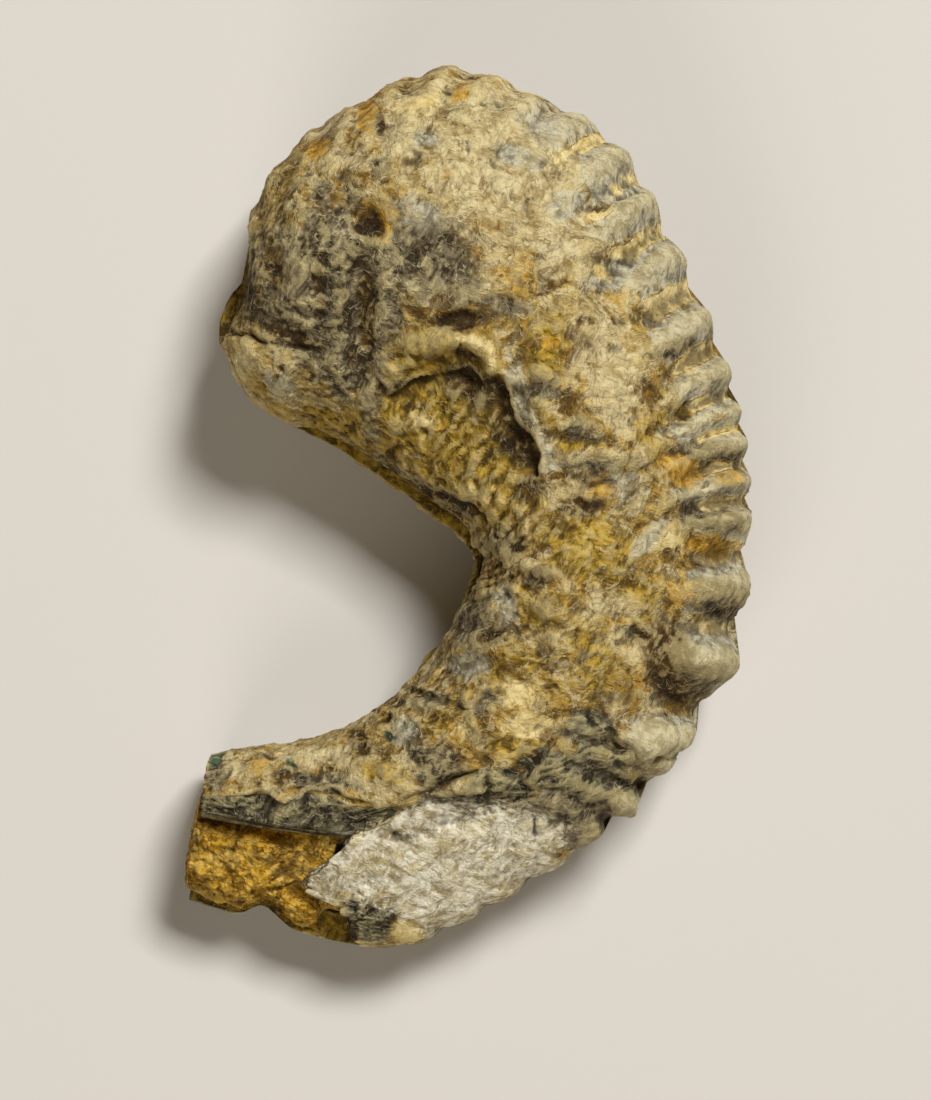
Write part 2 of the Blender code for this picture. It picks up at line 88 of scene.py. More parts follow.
# One row for each station: the inner margin (x, y), the outer margin (x, y), the height of the joint
# above the ground, the upper valve's rise, the lower valve's depth, how far the crest leans out, and
# the outer flank of the upper valve, from boxy (0.8) to a straight slope (1.3).
STATIONS = np.array((
    (-23.7, 14.9, -24.9, 16.9, 13.4, 2.4, 2.4, 0, 0.9),
    (-22.5, 12.2, -24.5, 20, 13.2, 6.6, 6.6, 0, 0.9),
    (-20, 10, -22.3, 23.9, 13, 9.8, 10.2, 0.05, 0.9),
    (-16.8, 8.1, -21.1, 29.6, 13, 12.4, 12.6, 0.15, 0.9),
    (-13.3, 6.4, -17.9, 35.3, 13, 14.4, 13.3, 0.22, 0.92),
    (-10.2, 4.4, -11.4, 40, 13, 15.6, 13.3, 0.26, 0.95),
    (-6.8, 2.1, -2.6, 43.8, 13, 16, 13.3, 0.26, 1),
    (-4.1, 0.1, 6.1, 41.6, 13, 15.8, 13.3, 0.18, 1.05),
    (-1.3, -2, 14.9, 36.1, 13, 15.2, 13.3, 0.06, 1.12),
    (0, -3.7, 19.7, 27.5, 13, 14.4, 13.2, -0.06, 1.2),
    (0.9, -5.5, 24.6, 16.5, 13, 13.8, 13.1, -0.16, 1.25),
    (0.1, -7.6, 27.6, 5.8, 12.9, 13.2, 13, -0.2, 1.25),
    (-0.5, -9.8, 27.2, -6.8, 12.7, 12.6, 12.8, -0.18, 1.22),
    (-2.8, -13.5, 25.5, -16.2, 12.3, 12, 12.5, -0.1, 1.15),
    (-6.3, -17.7, 20.2, -24.2, 11.8, 11.4, 12.1, -0.04, 1.05),
    (-9.8, -20.3, 13.5, -32, 11.2, 10.6, 11.5, -0.04, 1),
    (-12.9, -22, 3.6, -38.9, 10.5, 9.6, 10.8, -0.1, 1),
    (-16.8, -23.2, -6.8, -43.8, 9.9, 8.8, 10.1, -0.22, 1),
    (-21.3, -23.8, -17.4, -42.5, 9.4, 8.2, 9.5, -0.3, 0.95),
    (-26, -24.8, -28.2, -39.3, 9, 7.4, 8.6, -0.32, 0.9),
))  # fmt: skip
TAIL_STATION = len(STATIONS) - 1.0
WIDEST_STATION = 9.0

# The ribs: the station that each crest meets the outer margin at, and its height there.
RIB_CRESTS = (0.7, 1.4, 2.1, 2.9, 3.65, 4.35, 4.95, 5.45, 6.07, 6.66, 7.13, 7.6, 8.12, 8.68, 9.24,
              9.79, 10.27, 10.64, 10.93, 11.25, 11.52, 12.06, 12.9, 13.86, 14.16, 14.68, 15.1, 15.5,
              15.97, 16.35, 16.8)  # fmt: skip
RIB_HEIGHTS = (0.15, 0.25, 0.35, 0.35, 0.4, 0.5, 0.6, 0.5, 0.7, 0.6, 0.5, 0.5, 1.1, 1.2, 1.5,
               1.6, 1.4, 1.1, 1.1, 1.2, 1.4, 2.0, 2.7, 2.7, 1.8, 2.0, 0.9, 0.8, 0.7,
               0.6, 0.5)  # fmt: skip
RIBS_END = 17.2  # the station past the last rib where the flank is plain
# The ribs bend towards the beak as they climb from the outer margin: stations to a full width across.
SLANT_STATIONS = (0, 3, 5, 6, 8, 8.5, 9, 9.5, 10, 11, 11.5, 12, 12.9, 13.9, 14.5,
                  15.5, 17)  # fmt: skip
SLANTS = (0, 0.8, 2, 2.9, 3, 2.6, 1.9, 1.3, 1, 0.9, 0.55, 0.3, 0.1, -0.25, 0.2, 0.5, 0)
# How far in from the outer margin the ribs show.
REACH_STATIONS = (5, 7, 8, 9, 10.5, 11.5, 12.9, 13.9, 14.1, 14.7, 15.1)
REACHES = (2.5, 3.6, 6.2, 7.8, 8, 8.2, 7.5, 7.6, 2.6, 2.2, 1.4)
ZIGZAG = 1.5  # the joint's swing up and down where a rib is at full height
FULL_RIB = 1.5  # the rib height that has the full zigzag
ZIGZAG_FADES = 14.7  # the station past which the joint runs straight
LOWER_RIB_SHARE = 0.75  # height of the lower valve's ribs, between the upper's
INNER_RIB_SHARE = 0.16  # height of the ribs along the hollow side
TOP_RIB_SHARE = 0.06  # and over the worn top
RIB_MIDDLE = 0.55  # part of a rib's height that lies outside the plain form
INNER_ZIGZAG_SHARE = 0.22  # the joint's swing along the hollow side
FILL_LEVEL = 0.35  # how far up the ribs' grooves the fill between them lies
FILL_ROUNDING = 0.22  # how softly the fill meets the ribs

# The ragged break of the upper valve: angles, and the station where the shell ends there.
BREAK_ANGLES = (0, 40, 52, 57, 70, 84, 92, 97, 100, 102, 105, 108, 180)
BREAK_STATIONS = (17.4, 17.35, 17.4, 17.8, 17.6, 17.3, 16.95, 16.75, 17.2, 18, 18.5, 18.95, 18.97)
BREAK_STARTS = 15.2  # the stations past this one are drawn back to the break
BARE_TURN = 13.0  # degrees, and stations, that the bare fill keeps clear of the broken edge
BARE_STEP = 0.16
FILL_BARE_DEPTH = 1.0  # how far the bare fill lies inside the lost shell's form
FILL_BARE_SINK = 0.6  # and how much lower than that its top is
TERRACE_DEPTH = 1.3  # the outer layers lost from the tail's outer side, beyond a step
TERRACE_STATIONS = (14.8, 15.3, 15.9, 16.4, 16.7, 16.9, 17.3, 17.6, 17.9, 19)  # where that step is
TERRACE_ANGLES = (62, 90, 100, 103, 111, 119, 124, 116, 122, 119)
TERRACE_SLOPE_STATIONS = (16.3, 16.9)  # and how many degrees it takes
TERRACE_SLOPES = (5, 13)
BEAK_LEDGE = 2.2  # how far the upper valve's margin stands back from the lower's by the beak
BEAK_LEDGE_ENDS = 2.9  # the station where that ledge is gone
HOLLOW_LEDGE = 1.2  # and how far along the shell's hollow side
HOLLOW_LEDGE_STATIONS = (2.6, 12.5)  # where it begins and ends
LUMP_HEIGHT = 0.45  # random unevenness of the whole surface
LUMP_SIZE = 5.0
NOTCH_CENTRE = (-20.2, -41.0)  # the bite out of the fill and the lower valve at the tail
NOTCH_RADIUS = 2.0
NOTCH_DEPTH = 2.2
CAVITY_STARTS = 1.5  # the station where the hollow between the valves begins
CAVITY_GROWS = 1.8  # and how many more stations it takes to reach its full height
SIDE_POWER = 0.88  # under 1 makes the section boxier than an ellipse
RISE_POWER = 0.88

# Swellings and hollows: x, y, half length, half width, turn in degrees, height.
UPPER_RELIEF = (
    (0.2, 7.4, 7.4, 4.2, -42, -2.5),  # the hollow where flakes of the wall have come off
    (-2.4, 15.9, 4.8, 1.7, -6, 1.9),  # the lip over that hollow
    (7, 9.5, 8, 1.8, 84, 1),  # the edge of the thicker wall beside it
    (-10.6, 18.5, 8.5, 1.5, 86, -1),  # the furrow down the head
    (-16.5, 25, 4.2, 4.2, 0, 0.9),  # the boss to the left of the furrow
    (-9.5, 28.8, 1.5, 1.3, 60, -0.8),  # the round pit
    (-19.5, 13.2, 4.4, 2.6, -48, 1.1),  # the ear by the beak
    (-19, 17.8, 4.5, 1.2, -25, -1.2),  # the crease above the ear
    (22.6, -14.2, 3.6, 2.8, -20, 1.8),  # the large knob
    (18.6, -15.6, 2.6, 1.8, 60, -1.6),  # the hollow beside it
    (18.4, -22.8, 2.4, 2.4, 0, 1.3),  # the small knob
    (14.2, -27.5, 2.4, 1.3, -35, -0.3),  # the gap after it
    (7, -21, 8, 1.1, 28, -0.9),  # the step where the top layer ends
    (1.2, -21.5, 6, 3.2, 20, 1),  # the swelling above that step
    (-7.2, -26, 4.6, 2.4, -12, 1.2),  # the swellings of the narrow strip to the tail
    (-20.6, -25.6, 2.6, 1.7, -10, 0.9),
    (-13.8, -26, 1.3, 2.6, 10, -0.6),
    (-2, -30.8, 9, 1.2, 20, -0.8),  # the groove under the strip
    (-26.4, -27.2, 2.6, 1.8, 60, -1.3),  # the worn corner of the tail
)
LOWER_RELIEF = (
    (-21, 22, 4.5, 3.5, 70, 1.2),
    (14, 20, 5, 3, -50, -1),
    (18, -6, 5.5, 3, 85, -1.2),
    (4, -27, 5, 2.5, 20, -0.9),
)


# ---- numbers and noise ----

SEED_SHIFT = 7.31  # how far apart the fields of two seeds lie, in cubes
OCTAVE_SHARE = 0.55  # height of each octave, as a share of the one before
GAIN = 1.6  # brings a sum of noises to about -1 to 1
SPOT_SPREAD = 0.45  # how far a flake's seed strays from the middle of its cube
FLAKE_LEVELS = 3.2  # how many plates lie between the heights 0 and 1
PLATE_EDGE = 0.22  # share of a plate that its step takes


def smooth_step(value: Array, low: float = 0.0, high: float = 1.0) -> Array:
    """An S curve of 0 below low, 1 above high, and 3t^2 - 2t^3 between."""
    t = np.clip((value - low) / (high - low), 0.0, 1.0)
    return t * t * (3 - 2 * t)


def corner_value(cell: Array, seed: int) -> Array:
    """A repeatable value from -1 to 1 for each whole-numbered corner of space.

    The numbers are mixed by multiplying with odd constants and folding the high bits down.

    Args:
        cell: Whole numbers, shape (..., 3).
        seed: Picks one of many unlike fields.

    Returns:
        Values of shape (...).
    """
    whole = cell.astype(np.int64).astype(np.uint32)
    mixed = whole[..., 0] * np.uint32(2654435761) ^ whole[..., 1] * np.uint32(2246822519)
    mixed ^= whole[..., 2] * np.uint32(3266489917) ^ np.uint32((seed * 668265263) & 0xFFFFFFFF)
    for shift, factor in ((15, 739982445), (12, 695872825), (15, 2654435761)):
        mixed = (mixed ^ (mixed >> np.uint32(shift))) * np.uint32(factor)
    return mixed.astype(float) / 2147483648.0 - 1.0


def blend_corners(scaled: Array, value_at: Callable[[Array], Array]) -> Array:
    """Values at the eight whole-numbered corners round each place, blended by S curves.

    Args:
        scaled: Places, with a cube's side as the unit, shape (..., 3).
        value_at: Gives the values at whole-numbered corners.

    Returns:
        Values of shape (...).
    """
    corner = np.floor(scaled)
    share = smooth_step(scaled - corner)
    total = np.zeros(scaled.shape[:-1])
    for step in np.ndindex(2, 2, 2):
        weight = np.prod(np.where(np.array(step) == 1, share, 1 - share), axis=-1)
        total += weight * value_at(corner + np.array(step))
    return total


def noise(points: Array, size: float, seed: int) -> Array:
    """Smooth random values from -1 to 1, blended from the corners of cubes of this size."""
    return blend_corners(points / size + seed * SEED_SHIFT, lambda corner: corner_value(corner, seed))


def noises(points: Array, size: float, seed: int, count: int) -> Array:
    """Several noises, with seeds that follow on, side by side in a last axis."""
    return np.stack([noise(points, size, seed + i) for i in range(count)], axis=-1)


def cloud(points: Array, size: float, seed: int, octaves: int = 4) -> Array:
    """Sum of noises: OCTAVE_SHARE^k * noise(size / 2^k), over its greatest height, times GAIN."""
    total = sum(OCTAVE_SHARE**k * noise(points, size / 2**k, seed + k) for k in range(octaves))
    return total / sum(OCTAVE_SHARE**k for k in range(octaves)) * GAIN


def crinkle(points: Array, size: float, seed: int, octaves: int = 4) -> Array:
    """Sharp winding crests between round hollows: each octave is (1 - |noise|)^2, on warped places.

    Args:
        points: Places, shape (..., 3).
        size: Size of the broadest folds.
        seed: Picks the field.
        octaves: How many layers of folds.

    Returns:
        Values of about -1, in the hollows, to 1, on the crests.
    """
    moved = points + noises(points, size * 1.7, seed + 50, 3) * size * 0.55
    total, weight = np.zeros(points.shape[:-1]), 1.0
    for k in range(octaves):
        crest = (1 - np.abs(noise(moved, size / 2**k, seed + k) * GAIN)).clip(0) ** 2
        total += OCTAVE_SHARE**k * weight * (2 * crest - 0.75)
        weight = np.clip(0.35 + crest, 0, 1)
    return total / GAIN


def chips(points: Array, size: float, seed: int) -> tuple[Array, Array]:
    """Broken flakes: space split between scattered seeds, one in each cube of this size.

    Args:
        points: Places, shape (..., 3).
        size: Side of a cube.
        seed: Picks the field.

    Returns:
        A value from -1 to 1 for each flake, and how far each place is from the flake's edge (0 on it).
    """
    scaled = points / size
    corner = np.floor(scaled)
    first, second = np.full(points.shape[:-1], np.inf), np.full(points.shape[:-1], np.inf)
    owner = np.zeros(points.shape[:-1])
    for step in np.ndindex(3, 3, 3):
        cell = corner + np.array(step) - 1
        stray = np.stack([corner_value(cell, seed + i) for i in range(3)], axis=-1)
        spot = cell + 0.5 + SPOT_SPREAD * stray
        reach = np.linalg.norm(scaled - spot, axis=-1)
        nearer = reach < first
        second = np.where(nearer, first, np.minimum(second, reach))
        owner = np.where(nearer, corner_value(cell, seed + 9), owner)
        first = np.where(nearer, reach, first)
    return owner, second - first


def flakes(points: Array, size: float, seed: int) -> Array:
    """Plates that lie one on another: a cloud cut into levels, with steep little steps between."""
    level = cloud(points, size, seed, 4) * FLAKE_LEVELS
    whole = np.floor(level)
    return (whole + smooth_step(level - whole, 0.0, PLATE_EDGE) + 0.35 * (level - whole)) / FLAKE_LEVELS


def evenly(line: Array, values: Array, count: int) -> Array:
    """Picks this many values, evenly spaced along a line of points."""
    length = np.concatenate([[0.0], np.cumsum(np.linalg.norm(np.diff(line, axis=0), axis=1))])
    return np.interp(np.linspace(0, length[-1], count), length, values)


def grid_of(stations: Array, angles: Array) -> list[Array]:
    """The station and the angle of each point of a grid, with one row for each station."""
    return np.meshgrid(stations, angles, indexing="ij")


def half_gap(angle: Array) -> Array:
    """Half of the joint's clearance for the points on the joint, and 0 for the rest."""
    return np.where(angle % 180 == 0, 0.5 * JOINT_GAP, 0.0)


def turned(x: Array, y: Array, centre_x: float, centre_y: float, turn: float) -> tuple[Array, Array]:
    """Places measured along and across a line through a centre, turned by an angle in degrees."""
    c, s = math.cos(math.radians(turn)), math.sin(math.radians(turn))
    return (x - centre_x) * c + (y - centre_y) * s, (y - centre_y) * c - (x - centre_x) * s


def swellings(x: Array, y: Array, table: tuple) -> Array:
    """Sum of turned Gaussians, height * exp(-(along/long)^2 - (across/wide)^2), over a table's rows.

    Args:
        x: Places in plan.
        y: Places in plan.
        table: Rows of x, y, half length, half width, turn and height.

    Returns:
        Heights, in the shape of x.
    """
    total = np.zeros_like(x)
    for centre_x, centre_y, long, wide, turn, height in table:
        along, across = turned(x, y, centre_x, centre_y, turn)
        total += height * np.exp(-((along / long) ** 2 + (across / wide) ** 2))
    return total


def from_path(x: Array, y: Array, path: tuple[Point, ...]) -> tuple[Array, Array, Array]:
    """How places lie to a path of straight pieces.

    Args:
        x: Places in plan.
        y: Places in plan.
        path: The path's corners.

    Returns:
        The distance to the nearest piece, the same distance with a sign (more than 0 to the left of the
        path's direction), and how far along the path the nearest point is, from 0 to 1.
    """
    nearest, signed, place = np.full_like(x, np.inf), np.zeros_like(x), np.zeros_like(x)
    corners = np.array(path, float)
    lengths = np.linalg.norm(np.diff(corners, axis=0), axis=1)
    starts = np.concatenate([[0.0], np.cumsum(lengths)])
    for k, (here, after) in enumerate(zip(corners[:-1], corners[1:])):
        way = (after - here) / lengths[k]
        along = np.clip((x - here[0]) * way[0] + (y - here[1]) * way[1], 0, lengths[k])
        off_x, off_y = x - here[0] - way[0] * along, y - here[1] - way[1] * along
        reach = np.hypot(off_x, off_y)
        side = way[0] * off_y - way[1] * off_x
        closer = reach < nearest
        nearest = np.where(closer, reach, nearest)
        signed = np.where(closer, np.where(side >= 0, reach, -reach), signed)
        place = np.where(closer, (starts[k] + along) / starts[-1], place)
    return nearest, signed, place


# ---- the form ----


class Valve(Enum):
    """Which of the two valves a surface belongs to."""

    UPPER = "upper"
    LOWER = "lower"


class CrescentForm:
    """The plain crescent and its ribs, as functions of station and angle."""

    def rows(self, station: Array) -> Array:
        """Rows of STATIONS at any station numbers: a Catmull-Rom spline through the table."""
        count = int(TAIL_STATION)
        k = np.clip(np.floor(station).astype(int), 0, count - 1)
        t = (station - k)[..., None]
        before, here, after, beyond = (STATIONS[np.clip(k + step, 0, count)] for step in (-1, 0, 1, 2))
        return 0.5 * (
            2 * here
            + (after - before) * t
            + (2 * before - 5 * here + 4 * after - beyond) * t**2
            + (3 * here - before - 3 * after + beyond) * t**3
        )

    def rib_phase(self, station: Array) -> Array:
        """Counts the ribs: a whole number on each crest, and a half in each groove."""
        before = 2 * RIB_CRESTS[0] - RIB_CRESTS[1]
        after = 2 * RIB_CRESTS[-1] - RIB_CRESTS[-2]
        return np.interp(station, [before, *RIB_CRESTS, after], np.arange(-1, len(RIB_CRESTS) + 1))

    def rib_height(self, station: Array) -> Array:
        """Height of the ribs at a station, before the shape of each one."""
        return np.interp(station, [0.0, *RIB_CRESTS, RIBS_END], [0.0, *RIB_HEIGHTS, 0.0])

    def zigzag(self, station: Array) -> Array:
        """How far the joint stands above its middle: swing * cos(2 pi phase), fading by the tail."""
        swing = ZIGZAG * np.minimum(self.rib_height(station) / FULL_RIB, 1.0)
        fading = 1 - smooth_step((station - ZIGZAG_FADES) / 0.5)
        return swing * fading * np.cos(2 * np.pi * self.rib_phase(station))

    def side(self, station: Array, angle: Array, inset_share: Array | float) -> Array:
        """How far across a section a point lies: a half, and up to a half times |cosine|^power more."""
        flank = self.rows(station)[..., 8]
        cosine = np.cos(np.radians(angle))
        power = np.where((cosine > 0) & (angle < 180), flank, SIDE_POWER)
        return 0.5 + (0.5 - inset_share) * np.sign(cosine) * np.abs(cosine) ** power

    def section(self, station: Array, angle: Array, inset: Array) -> tuple[Array, Array, Array, Array]:
        """Points of the plain form, drawn in from its skin.

        Across, a point lies at side() of its station; upwards, at the joint's height and the valve's
        rise or depth times |sin|^RISE_POWER, with the crest leaning out.

        Args:
            station: Stations.
            angle: Angles.
            inset: How far inside the skin.

        Returns:
            The points, the way out in plan, and the sine and cosine of the angle.
        """
        row = self.rows(station)
        inner, outer = row[..., 0:2], row[..., 2:4]
        joint, rise, depth, lean = (row[..., i] for i in range(4, 8))
        turn = np.radians(angle)
        cosine, sine = np.cos(turn), np.sin(turn)
        width = np.linalg.norm(outer - inner, axis=-1)
        way = (outer - inner) / width[..., None]
        side = self.side(station, angle, np.minimum(inset / width, 0.45))
        plan = inner + (outer - inner) * side[..., None]
        height = np.where(sine >= 0, rise, depth) - inset
        swell = 1 + np.where(sine >= 0, lean, 0.0) * (2 * side - 1)
        z = joint + np.maximum(height, 0.0) * np.sign(sine) * np.abs(sine) ** RISE_POWER * swell
        return np.concatenate([plan, z[..., None]], axis=-1), way, sine, cosine

    def slanted(self, margin_station: Array, angle: Array) -> Array:
        """Station of a point on the rib line that starts from the outer margin at margin_station."""
        side = self.side(margin_station, angle, 0.0)
        return margin_station - np.interp(margin_station, SLANT_STATIONS, SLANTS) * side * (1 - side)

    def rib_line(self, margin_station: Array, valve: Valve) -> Array:
        """Section through a row of ribs: |cos(pi * phase)|^0.9, 1 on the crests and 0 in the grooves."""
        phase = self.rib_phase(margin_station) + (0.0 if valve is Valve.UPPER else 0.5)
        return np.abs(np.cos(np.pi * phase)) ** 0.9

    def flank_share(self, cosine: Array) -> Array:
        """Where the ribs are at their full height: 1 down the outer flank and 0 over the top."""
        return smooth_step((cosine - 0.10) / 0.50)

    def rib_reach(self, margin_station: Array, angle: Array) -> Array:
        """How much of a rib is left, 0 to 1: it wears away a short way in from the outer margin."""
        row = self.rows(margin_station)
        width = np.linalg.norm(row[..., 2:4] - row[..., 0:2], axis=-1)
        inward = (1 - self.side(margin_station, angle, 0.0)) * width
        return smooth_step(1 - inward / np.interp(margin_station, REACH_STATIONS, REACHES), 0, 0.55)

    def rib_swell(self, station: Array, angle: Array, sine: Array, cosine: Array, valve: Valve) -> Array:
        """How far the ribs push the skin out: full on the flank, faint on top and by the hollow side.

        The upper valve's grooves are filled: their section is a soft maximum of itself and FILL_LEVEL.
        Close to the joint both valves follow the upper valve's ribs, so that the margins meet.

        Args:
            station: The station where the rib line meets the outer margin.
            angle: Angles.
            sine: Their sines.
            cosine: Their cosines.
            valve: Which valve.

        Returns:
            Heights in millimetres, less than 0 in the grooves.
        """
        height = self.rib_height(station) * (1.0 if valve is Valve.UPPER else LOWER_RIB_SHARE)
        outward = self.flank_share(cosine)
        if valve is Valve.UPPER:
            outward = outward * self.rib_reach(station, angle)
        inward = smooth_step((-cosine - 0.2) / 0.6)
        share = outward + INNER_RIB_SHARE * inward + TOP_RIB_SHARE * (1 - outward) * (1 - inward)
        line = self.rib_line(station, valve)
        if valve is Valve.UPPER:
            line = 0.5 * (line + FILL_LEVEL + np.hypot(line - FILL_LEVEL, FILL_ROUNDING))
        on_flank = height * (line - RIB_MIDDLE) * share
        on_margin = self.rib_height(station) * (self.rib_line(station, Valve.UPPER) - RIB_MIDDLE)
        ends, fades = (0.25, 0.25) if valve is Valve.UPPER else (0.95, 0.45)
        at_margin = smooth_step((ends - np.abs(sine)) / fades) * (cosine > 0)
        return on_flank * (1 - at_margin) + on_margin * at_margin

    def ledge(self, station: Array, cosine: Array) -> Array:
        """How far along the way out the upper valve's margins move, to stand back from the lower's."""
        first, last = HOLLOW_LEDGE_STATIONS
        by_beak = BEAK_LEDGE * smooth_step(station / 0.9)
        by_beak *= smooth_step((BEAK_LEDGE_ENDS - station) / 0.9)
        by_hollow = HOLLOW_LEDGE * smooth_step(station - first) * smooth_step((last - station) / 2.0)
        return by_hollow * smooth_step(-cosine) - by_beak * smooth_step(cosine)

    def terrace(self, station: Array, angle: Array) -> Array:
        """How much of the outer layers is gone beyond the step on the tail's outer side: 0 to 1."""
        edge = np.interp(station, TERRACE_STATIONS, TERRACE_ANGLES)
        slope = np.interp(station, TERRACE_SLOPE_STATIONS, TERRACE_SLOPES)
        return smooth_step((station - TERRACE_STATIONS[0]) / 0.5) * smooth_step((edge - angle) / slope)

    def lumps(self, points: Array) -> Array:
        """The solids' own unevenness: values at the corners of cubes, from a large sine, blended."""

        def value_at(corner: Array) -> Array:
            """Twice the fraction of 43758.5453 * sin(corner . (127.1, 311.7, 74.7)), less 1."""
            mixed = np.sin(corner @ np.array([127.1, 311.7, 74.7])) * 43758.5453
            return 2 * (mixed - np.floor(mixed)) - 1

        return blend_corners(points / LUMP_SIZE, value_at)

    def skin(self, margin_station: Array, angle: Array, valve: Valve) -> Array:
        """The outside of a valve: the plain form with its ribs, zigzag, relief and lumps.

        Args:
            margin_station: The station where a point's rib line meets the outer margin.
            angle: Angles.
            valve: Which valve.

        Returns:
            The points.
        """
        station = self.slanted(margin_station, angle)
        points, way, sine, cosine = self.section(station, angle, np.zeros_like(station))
        lumps = LUMP_HEIGHT * self.lumps(points)
        away = self.rib_swell(margin_station, angle, sine, cosine, valve) + lumps * np.abs(sine)
        swing = self.zigzag(margin_station) * cosine**2 * np.where(cosine > 0, 1, INNER_ZIGZAG_SHARE)
        x, y = points[..., 0], points[..., 1]
        if valve is Valve.UPPER:
            away -= TERRACE_DEPTH * self.terrace(station, angle) * np.abs(sine)
            bumps = swellings(x, y, UPPER_RELIEF)
            points[..., 0:2] += way * self.ledge(station, cosine)[..., None]
        else:
            bumps = swellings(x, y, LOWER_RELIEF)
            points[..., 0:2] -= way * self.notch(x, y)[..., None]
        points[..., 0:2] += way * (away * cosine)[..., None]
        points[..., 2] += away * sine + swing + bumps * sine
        return points

    def notch(self, x: Array, y: Array) -> Array:
        """How far the bite at the tail draws a point in."""
        reach = np.hypot(x - NOTCH_CENTRE[0], y - NOTCH_CENTRE[1]) / NOTCH_RADIUS
        return NOTCH_DEPTH * np.exp(-(reach**2))

    def opening(self, station: Array) -> Array:
        """The hollow for the fill: 0 where the valves are solid at the beak, and 1 where it is full."""
        return smooth_step((station - CAVITY_STARTS) / CAVITY_GROWS)

    def inside(self, station: Array, angle: Array) -> Array:
        """The inside of a valve, a wall's thickness in from the plain form and without ribs."""
        points = self.section(station, angle, np.full_like(station, WALL))[0]
        joint = self.rows(station)[..., 4]
        points[..., 2] = joint + (points[..., 2] - joint) * self.opening(station)
        return points

    def even_stations(self, count: int, across: float) -> Array:
        """Stations evenly spaced along a line that runs this far across the shell."""
        station = np.linspace(0.0, TAIL_STATION, 2000)
        row = self.rows(station)
        return evenly(row[:, 0:2] + (row[:, 2:4] - row[:, 0:2]) * across, station, count)

    def even_angles(self, count: int, first: float, last: float) -> Array:
        """Angles evenly spaced round the section on the form's widest part."""
        angle = np.linspace(first, last, 3000)
        points = self.section(np.full_like(angle, WIDEST_STATION), angle, np.zeros_like(angle))[0]
        return evenly(points, angle, count)


FORM = CrescentForm()


# ---- places of marks on the shell ----


class Stain(str, Enum):
    """What a patch of the surface is made of or coloured with; the dusky and brown ones also carry
    painted shade. The value names its mesh attribute.
    """

    PALE = "pale_crust"
    OLIVE = "olive_stain"
    BARE = "bare_shell"
    # dark crust, and painted shade under the flank's ribs and at the inner flank's bend
    DUSK = "dusky_crust"
    YELLOW = "yellow_fill"
    ORANGE = "orange_stain"
    # brown stain, and painted shadow under the lip and beside the large knob
    BROWN = "brown_stain"
    SLATE = "slate"
    CHALK = "chalk"
    TEAL = "teal_stain"


PALE, OLIVE, BARE, DUSK, YELLOW, ORANGE, BROWN, SLATE, CHALK, TEAL = Stain
# The finishes paint shade into the hollows by this attribute.
RECESS = "recess"  # the mesh attribute that says how hollow a place is, from 0 to 1


def covers(shape: tuple[int, ...]) -> dict[str, Array]:
    """Empty covers of every stain, by attribute name, for a grid of this shape."""
    return {stain: np.zeros(shape) for stain in Stain}


@dataclass(frozen=True)
class Patch:
    """An oval patch on the upper side.

    Args:
        x: Centre in plan.
        y: Centre in plan.
        long: Half its length.
        wide: Half its width.
        strength: 1 covers it to its edge, and less leaves it patchy.
        turn: Turn of its length from +X, in degrees.
    """

    x: float
    y: float
    long: float
    wide: float
    strength: float
    turn: float = 0.0

    def cover(self, x: Array, y: Array) -> Array:
        """1 at the centre, 0.5 on the oval's edge and 0 at twice its size, times the strength."""
        along, across = turned(x, y, self.x, self.y, self.turn)
        reach = np.hypot(along / self.long, across / self.wide)
        return self.strength * np.clip(1 - 0.5 * reach, 0, 1)


@dataclass(frozen=True)
class Crease:
    """A groove, ridge or step that follows a path on the upper side.

    Args:
        path: Its corners in plan.
        wide: Half its width.
        height: Height of the ridge, or less than 0 for a groove.
        step: How much lower the surface is to the right of the path, close to it.
        reach: How far that lower ground reaches from the path.
    """

    path: tuple[Point, ...]
    wide: float
    height: float
    step: float = 0.0
    reach: float = 3.0

    def rise(self, x: Array, y: Array) -> Array:
        """height * exp(-(distance/wide)^2), faded at the path's ends, less the step's fading shelf.

        Args:
            x: Places in plan.
            y: Places in plan.

        Returns:
            Heights, in the shape of x.
        """
        distance, signed, place = from_path(x, y, self.path)
        ends = smooth_step(np.minimum(place, 1 - place) / 0.12)
        ridge = self.height * np.exp(-((distance / self.wide) ** 2)) * (0.25 + 0.75 * ends)
        if not self.step:
            return ridge
        below = smooth_step(-signed / (0.5 * self.wide))
        below *= smooth_step((self.reach + signed) / self.reach)
        return ridge - self.step * below * ends


